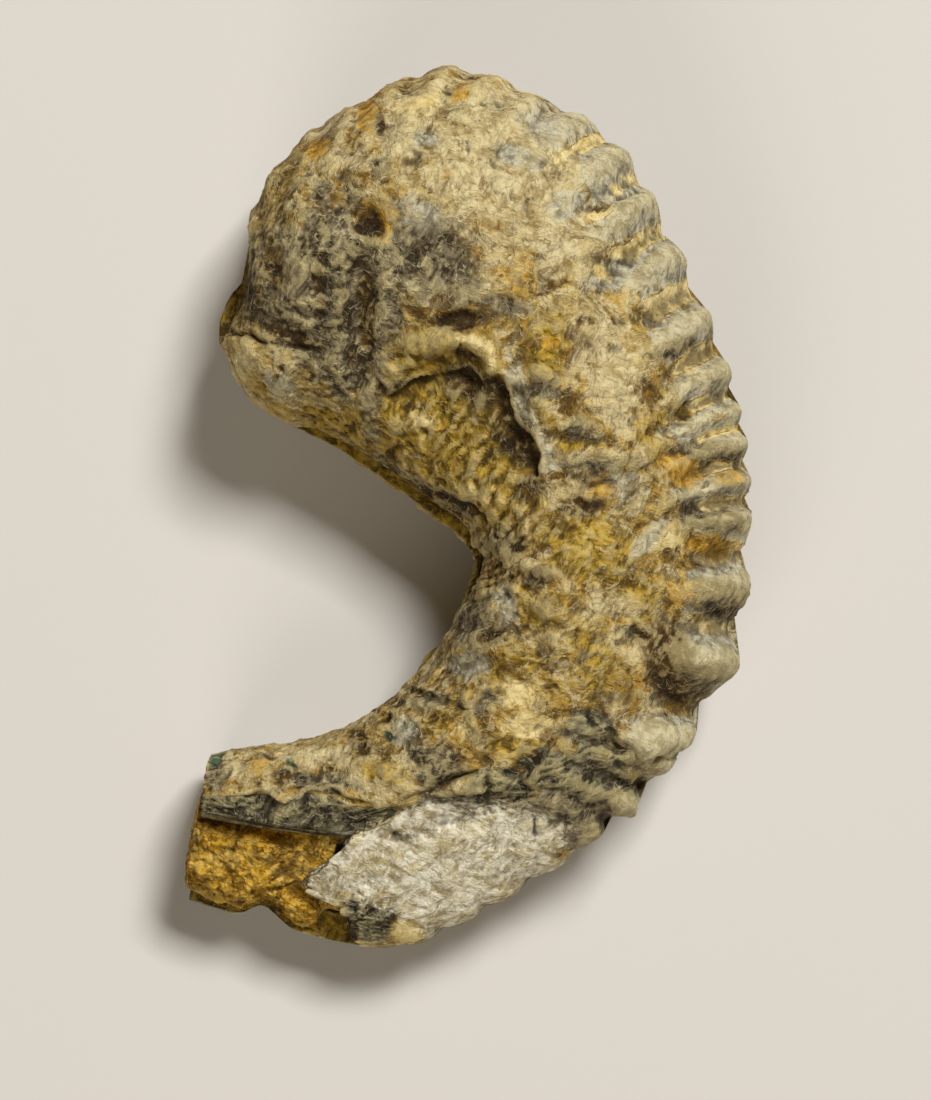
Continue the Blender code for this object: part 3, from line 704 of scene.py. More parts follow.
# The patches by stain: x, y, half length, half width, strength and, where it has one, a turn.
PATCHES = {
    # the light crust: the head's top, the band down the middle and the strip to the tail
    PALE: (
        (4, 34.5, 9.5, 6.5, 1.1, -20), (8.5, 28.5, 4.4, 5, 1, 10), (0, 40.5, 8, 2.4, 0.95),
        (-7, 38, 5, 3, 0.8, 20), (0.2, 22.4, 3.6, 1.3, 0.95, 5), (-22, 14.6, 1.6, 2.4, 0.75, 20),
        (-15.8, 10.4, 1.6, 0.9, 0.75), (14.4, 15.5, 2.5, 6, 0.95, 20), (9.8, 2.3, 2.6, 1, 0.85, -10),
        (14.8, -9.2, 2.6, 1.4, 0.8), (7.6, -12.6, 3, 1.8, 0.8), (5.6, -5.2, 2.4, 1, 0.75, -20),
        (15.8, -27.8, 0.9, 3, 1.3, 20), (-15, -24.6, 3.6, 1.2, 1, 4), (-9.4, -26.6, 3.6, 2, 0.95, -8),
        (-22.2, -26.2, 1.8, 1.6, 1),
    ),
    # the olive tint of the hollow, the ear and the middle
    OLIVE: (
        (-19, 27.5, 2.6, 4.4, 0.85, -25), (-18.3, 17, 4.2, 1.6, 1.3, -22), (-8.5, 17.5, 2.8, 3.4, 0.85),
        (-14.5, 9.2, 2.6, 1.4, 0.95, -30), (-3.4, 15.6, 5, 2.2, 1.2, 12), (-1, 9, 8.5, 5.4, 1.5, -42),
        (-9, 6.8, 4.4, 2.4, 1.1, -40), (2.6, -0.5, 3, 2, 1.1, -40), (7.5, 15, 2.6, 5, 0.85, -10),
        (12, -3.6, 5, 2.8, 1.1, -20), (22.2, 9.7, 1.4, 0.9, 1.1), (5, -23.8, 3.6, 1.2, 0.95),
        (7, -9.6, 5, 3.2, 0.74, -15), (12.6, -15.4, 4, 4.4, 0.66, 10), (4.4, -15, 4.2, 2.4, 0.68, 20),
        (-3, -20.6, 3.4, 1.8, 0.7, 30), (9.6, 11, 2.6, 1, 0.8, -10), (10.4, 6.6, 3.4, 0.9, 0.85),
        (18.6, 7, 1.8, 3.6, 0.75, 10), (16.6, -7.4, 3, 1.6, 0.85, -20), (-20, 12.6, 2.4, 2.2, 0.75),
        (-8.2, -26, 3, 1.6, 0.7, -8), (3.7, -32.3, 2.2, 0.8, 0.7),
    ),
    # clean grey shell: the smooth ribs of the head, the flank's ribs and spots on top
    BARE: (
        (7.5, 38.5, 3.6, 2, 0.8, -35), (-4.2, 37.2, 1.6, 1.2, 0.8), (5.6, 35.3, 2.9, 1.1, 0.9, -20),
        (10, 30.6, 2.4, 1.3, 0.9, 25), (-5.2, 28.6, 3.2, 2.4, 1, -30), (-17.6, 23, 1.6, 4.5, 0.85),
        (-13.3, 22.5, 0.9, 2.2, 0.85), (-13, 17.2, 1.2, 1.6, 0.85), (-18.6, 12.6, 2.6, 1.6, 0.75, -20),
        (5.4, 11, 1.2, 4.2, 0.9, 14), (7.9, 5, 1.4, 3.4, 0.75, 14), (16, 3, 2.6, 2.2, 0.75),
        (18, -2.8, 2.8, 0.8, 0.95, 48), (14.4, 33, 2.8, 2.8, 1.15), (16.4, 29, 3.2, 1.5, 1.2, 22),
        (17, 24.2, 4.8, 1.7, 1.15, 8), (21.2, 24, 1.8, 1.7, 1.15), (21.4, 17.6, 2.8, 2.2, 1.1),
        (25.2, 12.2, 2.2, 2.6, 1), (23.6, 7.8, 4.2, 1, 1.05), (24, 1.3, 3.6, 1, 1.1, -4),
        (26, -6, 2.2, 1.8, 1), (24.8, -14.2, 2.8, 3, 1.3, -30), (18.4, -22.4, 2.4, 1.8, 1.15),
        (3.8, -9.4, 1.1, 2.6, 0.95, 12), (-0.4, -15.6, 2.6, 1.5, 0.95, 30), (11.2, -30.2, 5, 3, 1.3, 15),
        (-6.4, -22.2, 1.6, 1.4, 0.95), (-3, -42.4, 1.9, 1, 1),
    ),
    # dark mottled crust on the dome, and painted shade under and between the flank's ribs and on the
    # inner flank at its bend
    DUSK: (
        (-8.5, 34.2, 1.2, 0.9, 0.8), (-11.5, 31.7, 1.3, 1.3, 0.9), (-14.3, 28.4, 1.4, 1.2, 0.95),
        (-13.5, 22, 6.2, 7.8, 1.3, 8), (-6, 25.5, 6, 3.6, 1, -25), (-2.2, 24.6, 2.6, 4, 1.15, 25),
        (-20.6, 22.5, 2.6, 5, 1), (-10.3, 19, 1.5, 8.5, 1.3, 4), (3.5, 20.6, 2.6, 1.2, 0.95, -5),
        (-7.5, 20, 1.3, 0.9, 0.95), (-12.4, 13.2, 2, 2.6, 0.95), (6.8, 11.8, 3.4, 0.7, 0.95, -8),
        (7.4, 12.6, 1.4, 1.3, 0.85), (11, 8.2, 1.7, 1, 0.95, -15), (12.5, 4.7, 3.2, 1, 0.95, -5),
        (20.6, 16.2, 2.4, 0.8, 1.15, 15), (23.8, 5.4, 3.6, 1.1, 1.35, -4),
        (24.2, -0.9, 3, 1.3, 1.35, -12), (25, -8.8, 2.8, 1.5, 1.35, -10), (23, -17, 2.8, 1.1, 1.2, 25),
        (16.8, -24.6, 2.2, 1.1, 1.15, -30), (16.4, -12.2, 1.4, 0.5, 1.05, -10),
        (0.6, -11.2, 2.6, 3.4, 0.95, 30), (-3.6, -18.8, 1.8, 1, 0.85, 20),
        (1.7, -19.3, 1.1, 2, 0.8, -30), (11, -30, 5.2, 3.2, 1.05, 15), (-3, -25.8, 2.2, 2.4, 1.15),
        (-2.6, -29.2, 2.6, 1.3, 1, 10), (-15.6, -27, 3.6, 0.9, 1.15, -8),
        (-4.6, -24.4, 1.6, 2.2, 0.95, 20), (-25.2, -26.6, 1, 1.6, 1),
    ),
    # the yellow fill between the ribs and in the creases
    YELLOW: (
        (-5, 40.5, 3.4, 1.3, 0.75, 15), (10, 35.8, 3.6, 0.7, 0.8, 40), (0.6, 16.9, 2.4, 0.5, 0.8, -12),
        (2.4, 14.8, 0.6, 1.5, 0.8), (-4.2, 8.6, 1.8, 0.9, 0.62, -40), (0.6, 1.7, 1.8, 1, 0.75, -20),
        (15, 30.6, 3.2, 0.6, 1.3, 25), (17, 26.4, 2.8, 0.9, 1.35, 14), (20, 21, 2.2, 1.2, 1.4),
        (13.2, 23.9, 1.4, 0.6, 1.1, -35), (23, 26.6, 1.4, 0.6, 0.9, 20), (22.6, 14.2, 2.4, 1.1, 1.3, 30),
        (21.3, -3, 2.4, 1.3, 0.85), (24.2, -11.6, 2, 0.8, 0.95, -10), (15.9, -27.6, 3.4, 1, 0.8, -65),
        (4.8, -18.3, 2, 1.4, 0.75, -50), (6.4, -21.2, 3, 1.5, 0.9, 10), (-0.4, -22.2, 1.4, 1.6, 0.75),
        (5.6, -34.4, 3, 1.5, 0.55, 10), (-10.9, -43, 1.7, 0.9, 1.2, 10), (-6.2, -42.1, 1.5, 1.3, 1.2),
    ),
    # orange spots
    ORANGE: (
        (-9.9, 39.3, 0.9, 1.2, 1.7), (-15, 36.1, 1.2, 0.7, 1.5, 38), (-0.9, 41.6, 1.3, 0.6, 0.95, 40),
        (1.6, 28.5, 1.3, 0.8, 0.8, -10), (-9.4, 28.9, 1.6, 1.7, 0.95), (-8.5, 30.2, 2, 0.6, 1, -25),
        (5, 23.6, 1.8, 2.2, 0.72), (7.8, 16.9, 1.6, 0.7, 0.8), (13.4, 2, 1.4, 0.55, 1, 10),
        (21, 4.1, 2.1, 1.2, 1.3, -28), (26.1, 3.2, 1.4, 0.6, 1.15), (23.9, -3.4, 2.4, 1, 1.15, -12),
        (21.4, -8.4, 1.8, 1.3, 0.9), (20.3, -19.2, 1.5, 0.9, 0.85), (-21, -25.8, 1.1, 1.3, 0.85),
        (8.3, -34.6, 0.9, 0.7, 0.9),
    ),
    # brown in the furrows, the hollow and the pits, with painted shadow under the lip and in the hollow
    # beside the large knob
    BROWN: (
        (-8.8, 38.5, 0.5, 1.3, 0.9), (-19.6, 24.4, 1.5, 3.2, 0.78), (-9.8, 28.2, 1.1, 1.4, 1.25),
        (-10.2, 20.2, 0.8, 6.4, 0.95, 3), (-14.8, 22.6, 0.7, 3.6, 0.85), (-1, 18.9, 2.4, 0.9, 1.15, 5),
        (-21.4, 21.6, 0.8, 2.4, 1.1, -8), (-17.8, 17.4, 3.2, 0.7, 0.95, -22),
        (0, 15.5, 1.7, 0.5, 1.1, -8), (-7.4, 12.4, 2, 0.8, 1.1, 20), (1, 12.2, 3.8, 1.7, 1.05, -20),
        (4.6, 7.4, 3, 1.7, 1.1, -72), (-4.5, 2.2, 7.4, 1.1, 0.95, -30), (6.2, 2.4, 1.9, 1.3, 1.05, 30),
        (3.6, -3.2, 2.2, 1.5, 0.95, -20), (11.2, 0.2, 2.4, 0.8, 1.05), (7.2, -6.6, 1.9, 1, 0.95, -12),
        (20.1, -15.4, 1.9, 2.9, 1.5, 10), (18.2, -12.6, 1.3, 1.4, 1, 50), (2.2, -12.8, 2, 0.9, 0.9, 15),
        (-10, -24, 1.2, 0.8, 0.95), (-11.2, -22.6, 0.9, 0.7, 0.95), (-18.4, -26.8, 1, 0.8, 0.9, 20),
        (-6.9, -32.8, 0.9, 0.35, 1.2, -20),
    ),
    # the dark layers laid bare by the tail
    SLATE: (
        (12, -22.2, 2.4, 2.4, 1.05), (11, -26, 4.6, 1.7, 1.5, -8), (3, -28.2, 3.2, 1.9, 1.3, 10),
        (-9.6, -40, 1.9, 2.4, 1.5),
    ),
    # the white fibrous shell beside them
    CHALK: (
        (-3.4, -34.6, 7.8, 4, 1.6, 8), (4, -34.8, 5.6, 3.8, 1.1, 22), (-2, -39, 4.4, 2.6, 1.2, 5),
        (-13.2, -35.4, 4.4, 1.9, 1.5, 40),
    ),
    # the teal specks at the tail's left
    TEAL: (
        (-7.9, -22.6, 0.8, 0.6, 0.8), (-25.2, -24.9, 0.9, 0.5, 0.85, 40),
        (-17.5, -25.5, 0.9, 0.4, 0.8, -20),
    ),
}  # fmt: skip

# The creases: their corners in plan, half width, height, step and its reach.
CREASE_ROWS = (
    # the lip, in three broken lengths, its cleft and the edge under it
    (((-9, 12.4), (-7.2, 14), (-5.2, 15)), 1.2, 0.6),
    (((-4.8, 15.8), (-2.6, 17), (-0.8, 16.8)), 1, 0.9),
    (((-0.4, 17.2), (1.6, 16.4), (2.8, 14.8), (2.7, 13.4)), 0.8, 0.9),
    (((-1.6, 15.4), (0.2, 15.6), (1.4, 15)), 0.5, -0.5),
    (((-8.8, 11), (-5.6, 12.9), (-3, 14), (0, 14.2), (2.4, 13)), 0.7, 0.1, 1.1, 4),
    # the slit above the lip, and the head's two furrows
    (((-3.8, 18.9), (-1.5, 19.4), (1, 18.8)), 0.6, -1),
    (((-9.6, 27), (-10.6, 23), (-10, 18), (-10.8, 12)), 1.3, -0.5),
    (((-14.8, 26), (-14.5, 18)), 1.2, -0.7),
    # the wall beside the hollow, and the worn ribs of the middle band
    (((3.2, 14.2), (5, 9.4), (6.9, 6.2), (7.8, 3.3)), 0.7, 0.3, 0.9, 3.5),
    (((3, 13.4), (6.6, 13.6), (10.4, 12.4)), 0.9, 0.7),
    (((8.6, 8.6), (11.4, 9.1), (13.8, 8.2)), 0.8, 0.8),
    (((9, 4.9), (12.4, 5.6), (16, 5.4), (18.6, 6.4)), 1, 0.85),
    (((10.6, 1.2), (12.2, 0.5), (13.8, 1)), 0.5, -0.7),
    (((0, -3), (3.6, -3.8), (7, -6.2), (10.4, -8.4)), 1.1, 0.55),
    (((3.4, -7.4), (7.4, -9.2), (11, -10.8), (14.2, -11.2)), 0.9, 0.45),
    # cracks: among the head's ribs, above the ear and beside the large knob
    (((12.2, 30), (17.4, 32.2)), 0.35, -0.6),
    (((-26, 21), (-25, 18.5), (-19, 16.4), (-15, 16)), 0.5, -0.7),
    (((14.1, -13.3), (16.8, -11.7), (18.2, -12.8)), 0.35, -0.6, 0.35, 1.6),
    # the edge of the slate, and the grooves and the rib round the small knob
    (((4.9, -27), (8.6, -23.7), (9.4, -22.4)), 0.3, -0.4, -0.8, 4),
    (((15.4, -23.5), (18, -24), (20.8, -24.8)), 0.8, 1.5),
    (((14.8, -20.6), (14.2, -23), (15.4, -26.6)), 0.6, -0.5),
    (((15.2, -25.4), (15.8, -28.4), (15.4, -30.8)), 1.1, 0.8),
    # little ridges, and the cracks of the layers under the strip
    (((16.6, -4.6), (17.7, -2.4), (19.8, -0.8)), 0.5, 0.5),
    (((-0.2, -17.8), (0.8, -23.6), (3.5, -24.8), (7, -23.8)), 0.5, 0.45),
    (((-6.1, -28.9), (-3.8, -27.6), (-0.2, -26.3), (2.5, -25)), 0.4, -0.8, 0.5, 2),
    (((2.1, -26.5), (2.3, -29.9)), 0.3, -0.7),
    (((6.9, -31), (7, -33.5)), 0.3, -0.6),
    # the strip's broken edge and its swellings
    (((-23.8, -28.3), (-19.9, -28.1), (-18.1, -29), (-16.3, -27.8), (-13.4, -28.1), (-8.3, -29.4)),
           0.4, 0.2, 0.5, 1.6),
    (((-12, -26.4), (-9, -27), (-5, -26)), 1.7, 0.5),
    (((-24, -25.6), (-21.6, -26.2), (-19.6, -25.6)), 1.3, 0.4),
    (((-17.6, -26.8), (-14.4, -26.4)), 0.9, -0.5),
    # the hollow's foot, and a crack in the middle band
    (((-10, 4.6), (-6, 2.6), (2, -0.9)), 0.35, -0.5),
    (((12, 2.5), (14.8, 2.8)), 0.3, -0.6),
)  # fmt: skip
CREASES = tuple(Crease(*row) for row in CREASE_ROWS)

# The pinholes: x, y, radius, depth.
PITS = (
    (0.5, 40.5, 0.35, 0.7), (1.4, 40.4, 0.3, 0.6), (0.5, 2.8, 0.4, 0.8), (-7.5, 5.8, 0.4, 0.8),
    (23.7, 2.8, 0.45, 1.0), (13.2, 2.0, 0.3, 0.6), (-6.9, -32.8, 0.5, 0.9), (16.8, 31.0, 0.3, 0.5),
    (-20.5, 12.0, 0.35, 0.6), (-18.8, 13.8, 0.3, 0.5), (20.9, -3.7, 0.4, 0.7),
)  # fmt: skip


# ---- meshes ----


@dataclass
class Sheet:
    """A grid of points with values on them.

    Args:
        points: Places in millimetres, shape (rows, columns, 3).
        values: Mesh attributes by name, each of shape (rows, columns).
    """

    points: Array
    values: dict[str, Array] = field(default_factory=dict)

    def normals(self) -> Array:
        """Unit normals: the cross product of the differences along rows and down columns."""
        down = np.gradient(self.points, axis=0)
        along = np.gradient(self.points, axis=1)
        cross = np.cross(along, down)
        return cross / np.maximum(np.linalg.norm(cross, axis=-1, keepdims=True), 1e-9)

    def hollowness(self, normals: Array, steps: int) -> Array:
        """How far the neighbours a few steps off stand above a point, over their distance.

        Args:
            normals: Unit normals at the points.
            steps: How many steps off the four neighbours are.

        Returns:
            More than 0 in hollows and less on crests.
        """
        offset, reach = np.zeros(self.points.shape[:2]), np.zeros(self.points.shape[:2])
        for axis in (0, 1):
            last = self.points.shape[axis] - 1
            for step in (-steps, steps):
                near = np.take(self.points, np.clip(np.arange(last + 1) + step, 0, last), axis=axis)
                away = near - self.points
                offset += np.sum(away * normals, axis=-1)
                reach += np.linalg.norm(away, axis=-1)
        return offset / np.maximum(reach, 0.05)


@dataclass
class ShellMesh:
    """Gathers sheets into one closed mesh.

    Args:
        name: The piece's name.
    """

    name: str
    places: list[Array] = field(default_factory=list)
    values: list[dict[str, Array]] = field(default_factory=list)
    faces: list[Array] = field(default_factory=list)
    count: int = 0

    def add(self, sheet: Sheet) -> Array:
        """Adds a sheet's points and quads, and gives the points' numbers in the grid's shape."""
        rows, columns = sheet.points.shape[:2]
        index = self.count + np.arange(rows * columns).reshape(rows, columns)
        self.count += rows * columns
        self.places.append(sheet.points.reshape(-1, 3))
        self.values.append({name: value.ravel() for name, value in sheet.values.items()})
        quads = np.stack([index[:-1, :-1], index[1:, :-1], index[1:, 1:], index[:-1, 1:]], axis=-1)
        self.faces.append(quads.reshape(-1, 4))
        return index

    def zip(self, longer: Array, shorter: Array) -> None:
        """Joins two lines of points of unlike counts with triangles, sharing the shorter one out evenly.

        Args:
            longer: Numbers of the points of the line that has more.
            shorter: Numbers of the points of the other.
        """
        near = np.rint(np.arange(len(longer)) * (len(shorter) - 1) / (len(longer) - 1)).astype(int)
        facing = shorter[near]
        moves = near[1:] != near[:-1]
        fans = np.stack([longer[:-1], longer[1:], facing[:-1]], axis=-1)
        gaps = np.stack([longer[1:], facing[1:], facing[:-1]], axis=-1)[moves]
        for part in (fans, gaps):
            kept = (part[:, 0] != part[:, 1]) & (part[:, 1] != part[:, 2]) & (part[:, 0] != part[:, 2])
            self.faces.append(part[kept])

    def finish(self, material: Material, body: str, node: str, slot: str) -> Object:
        """Args:
            material: Its finish.
            body: The body that it rides on.
            node: The CAD node that it stands for.
            slot: The record's material slot; not used.

        Returns:
            The object.
        """
        places = (np.concatenate(self.places) - ORIGIN) * MM
        mesh = bpy.data.meshes.new(self.name)
        loops = np.concatenate([part.ravel() for part in self.faces])
        sizes = np.concatenate([np.full(len(part), part.shape[1]) for part in self.faces])
        mesh.vertices.add(len(places))
        mesh.vertices.foreach_set("co", places.astype(np.float32).ravel())
        mesh.loops.add(len(loops))
        mesh.loops.foreach_set("vertex_index", loops.astype(np.int32))
        mesh.polygons.add(len(sizes))
        mesh.polygons.foreach_set("loop_start", (np.cumsum(sizes) - sizes).astype(np.int32))
        mesh.update(calc_edges=True)
        for name in sorted({name for part in self.values for name in part}):
            layer = mesh.attributes.new(name, "FLOAT", "POINT")
            pairs = zip(self.values, self.places)
            parts = [part.get(name, np.zeros(len(spots))) for part, spots in pairs]
            layer.data.foreach_set("value", np.concatenate(parts).astype(np.float32))
        outward = bmesh.new()
        outward.from_mesh(mesh)
        bmesh.ops.recalc_face_normals(outward, faces=outward.faces)
        outward.to_mesh(mesh)
        outward.free()
        mesh.shade_smooth()
        mesh.materials.append(material)
        piece = bpy.data.objects.new(self.name, mesh)
        bpy.context.scene.collection.objects.link(piece)
        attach(piece, body)
        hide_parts(node)
        log.info("%s: %d points, %d triangles", self.name, len(places), int(np.sum(sizes - 2)))
        return piece


# ---- weathering: the relief and the marks that lie on a sheet ----


@dataclass(frozen=True)
class Riblets:
    """Fine parallel waves inside an oval.

    Args:
        centre: The oval's centre in plan.
        turn: Turn of its length from +X, in degrees.
        half: Half its length and half its width.
        edge: Where the waves end, as a share of the oval's size.
        fade: How much of that share they fade over.
        height: Their height.
        waves: Radians to a millimetre along the oval and across it.
    """

    centre: Point
    turn: float
    half: Point
    edge: float
    fade: float
    height: float
    waves: Point

    def rise(self, x: Array, y: Array) -> Array:
        """height * cos(waves . place), faded at the oval's edge."""
        along, across = turned(x, y, *self.centre, self.turn)
        reach = np.hypot(along / self.half[0], across / self.half[1])
        wave = np.cos(along * self.waves[0] + across * self.waves[1])
        return smooth_step(self.edge - reach, 0, self.fade) * self.height * wave


RIBLETS = (
    Riblets((-0.5, 7.8), -42, (7.0, 3.6), 1.25, 0.35, 0.10, (math.tau / 1.35, 0.6)),  # in the hollow
    Riblets((-12.0, 18.6), 4, (4.2, 4.6), 1.3, 0.4, 0.07, (0.0, math.tau / 1.5)),  # on the furrow
)
ROUND_PIT = (-9.5, 28.8)
PIT_RIM = (1.9, 0.5, 0.25)  # radius, half width and height of the rim round it
PIT_BOWL = (1.3, 0.8)  # radius and depth of the pit itself
DRIFT, DRIFT_SIZE = 0.55, 1.8  # how far the creases' paths wander, and over what length
MIDDLE_COVER = (0.36, 0.64)  # the covers between which a patch's relief fades in
SLATE_LEAN = np.array([-0.30, 1.0, 0.45])  # the way that the dark layers climb
SLATE_PITCH = 0.9  # thickness of one of them
FIBRE_TURN = 62.0  # turn of the chalk's fibres from +X, in degrees


@dataclass(frozen=True)
class Weathering:
    """Turns a smooth sheet into weathered shell.

    Args:
        crust_height: Height of the crust's crests.
        chip_height: Height of the crumbs.
        flake_height: Height of four plates, one on another.
        bare_height: Unevenness of clean shell.
        fill_height: How far yellow and orange fill stands out.
        slate_step: Height of a step between the dark layers.
        fibre_height: Height of the chalk's fibres.
        swell_height: Height of the soft swellings under it all.
    """

    crust_height: float = 0.22
    chip_height: float = 0.08
    flake_height: float = 0.42
    bare_height: float = 0.15
    fill_height: float = 0.12
    slate_step: float = 0.15
    fibre_height: float = 0.20
    swell_height: float = 0.30

    def flat(self, points: Array) -> tuple[Array, Array]:
        """Places as they appear on the joint's plane, seen from EYE."""
        share = EYE[2] / (EYE[2] - (points[..., 2] - JOINT_HEIGHT))
        return EYE[0] + (points[..., 0] - EYE[0]) * share, EYE[1] + (points[..., 1] - EYE[1]) * share

    def marks(self, points: Array, upper_side: Array | float = 1.0) -> dict[str, Array]:
        """How strongly each stain covers each point: the strongest of its patches.

        Args:
            points: Places.
            upper_side: 1 where the patches apply and 0 where they don't.

        Returns:
            Covers by attribute name.
        """
        x, y = self.flat(points)
        found = covers(x.shape)
        for stain, rows in PATCHES.items():
            for row in rows:
                cover = Patch(*row).cover(x, y) * upper_side
                found[stain] = np.maximum(found[stain], cover)
        return found

    def crust(self, points: Array, share: Array) -> Array:
        """Height of the crust: crinkled folds with crumbs and thin plates on them, thicker in places.

        Args:
            points: Places.
            share: How much of the crust each place has.

        Returns:
            Heights along the normals.
        """
        owner, edge = chips(points + 0.6 * noise(points, 1.4, 31)[..., None], 1.5, 12)
        crumbs = self.chip_height * (owner - 0.8 * np.exp(-((edge / 0.22) ** 2)))
        patchy = 0.6 + 0.4 * smooth_step(cloud(points, 6.0, 17, 2), -0.4, 0.5)
        folds = self.crust_height * (0.6 * crinkle(points, 2.3, 3, 3) + 0.9 * cloud(points, 1.1, 8, 3))
        plates = self.flake_height * flakes(points, 4.2, 14)
        return share * patchy * (folds + crumbs + plates)

    def dark_layers(self, points: Array) -> Array:
        """Height of the slate: a saw of steps that climb along a wavering slope, roughened."""
        climb = points @ SLATE_LEAN + 1.5 * cloud(points, 4.5, 41, 4)
        saw = climb / SLATE_PITCH - np.floor(climb / SLATE_PITCH)
        return self.slate_step * (saw - 0.5) + 0.10 * crinkle(points, 1.2, 44, 3)

    def fibres(self, points: Array) -> Array:
        """The chalk's upright fibres, from about -1 to 1: crinkles drawn out along one way."""
        along, across = turned(points[..., 0], points[..., 1], 0.0, 0.0, FIBRE_TURN)
        combed = np.stack([along * 0.3, across, points[..., 2] * 0.5], axis=-1)
        return 0.5 * crinkle(combed, 1.0, 51, 3) + 0.9 * cloud(points, 2.4, 55)

    def relief(self, points: Array, marks: dict[str, Array]) -> Array:
        """Height of the weathered surface over the smooth one, by what each place is made of.

        Args:
            points: Places.
            marks: Covers by attribute name.

        Returns:
            Heights along the normals.
        """
        solid = {name: smooth_step(cover, *MIDDLE_COVER) for name, cover in marks.items()}
        bare, slate, chalk = (solid[stain] for stain in (BARE, SLATE, CHALK))
        fills = np.maximum(solid[YELLOW], 0.8 * solid[ORANGE])
        share = (1 - 0.65 * bare) * (1 - slate) * (1 - chalk) * (1 - 0.6 * fills)
        height = self.crust(points, share) + bare * self.bare_height * cloud(points, 1.5, 21)
        height += self.fill_height * fills
        height += slate * self.dark_layers(points)
        height += chalk * self.fibre_height * self.fibres(points)
        return height + self.swell_height * cloud(points, 3.6, 61, 3)

    def creases(self, points: Array) -> Array:
        """Heights of the named ridges, grooves, steps, pits and riblets of the upper side."""
        x, y = self.flat(points)
        drift = DRIFT * noises(points, DRIFT_SIZE, 71, 2)
        x, y = x + drift[..., 0], y + drift[..., 1]
        total = (1 + 0.7 * noise(points, 1.3, 75)) * sum(crease.rise(x, y) for crease in CREASES)
        for pit_x, pit_y, radius, depth in PITS:
            total -= depth * np.exp(-(((x - pit_x) ** 2 + (y - pit_y) ** 2) / radius**2))
        reach = np.hypot(x - ROUND_PIT[0], y - ROUND_PIT[1])
        rim = PIT_RIM[2] * np.exp(-(((reach - PIT_RIM[0]) / PIT_RIM[1]) ** 2))
        total += rim - PIT_BOWL[1] * np.exp(-((reach / PIT_BOWL[0]) ** 2))
        return total + sum(riblets.rise(x, y) for riblets in RIBLETS)

    def apply(
        self, sheet: Sheet, marks: dict[str, Array], extra: Array | float, share: Array
    ) -> Sheet:
        """Displaces a sheet along its normals and puts the attributes on it.

        Args:
            sheet: The smooth sheet.
            marks: Covers by attribute name.
            extra: Further height in millimetres.
            share: How much of the weathering each point takes, 0 to hold it still.

        Returns:
            The weathered sheet.
        """
        normals = sheet.normals()
        z = sheet.points[..., 2]
        if np.mean(normals[..., 2] * (z - np.mean(z))) < 0:
            normals = -normals
        height = (self.relief(sheet.points, marks) + extra) * share
        done = Sheet(sheet.points + normals * height[..., None], dict(marks))
        fresh = done.normals()
        fresh *= np.sign(np.sum(fresh * normals, axis=-1, keepdims=True))
        # How hollow each place is, from which the finishes paint shade into the hollows.
        fine, broad = done.hollowness(fresh, 2), done.hollowness(fresh, 7)
        done.values[RECESS] = np.clip(0.5 + 1.1 * fine + 1.0 * broad, 0, 1)
        return done


WEATHER = Weathering()


# ---- the pieces ----


CREST_COVER = 0.68  # how strongly clean shell covers the crests of the flank's ribs
VALLEY_COVER = 0.80  # and yellow fill the grooves between them
BROKEN_LAYERS = np.array([0.12, 0.12, 2.6])  # draws a noise out into level layers


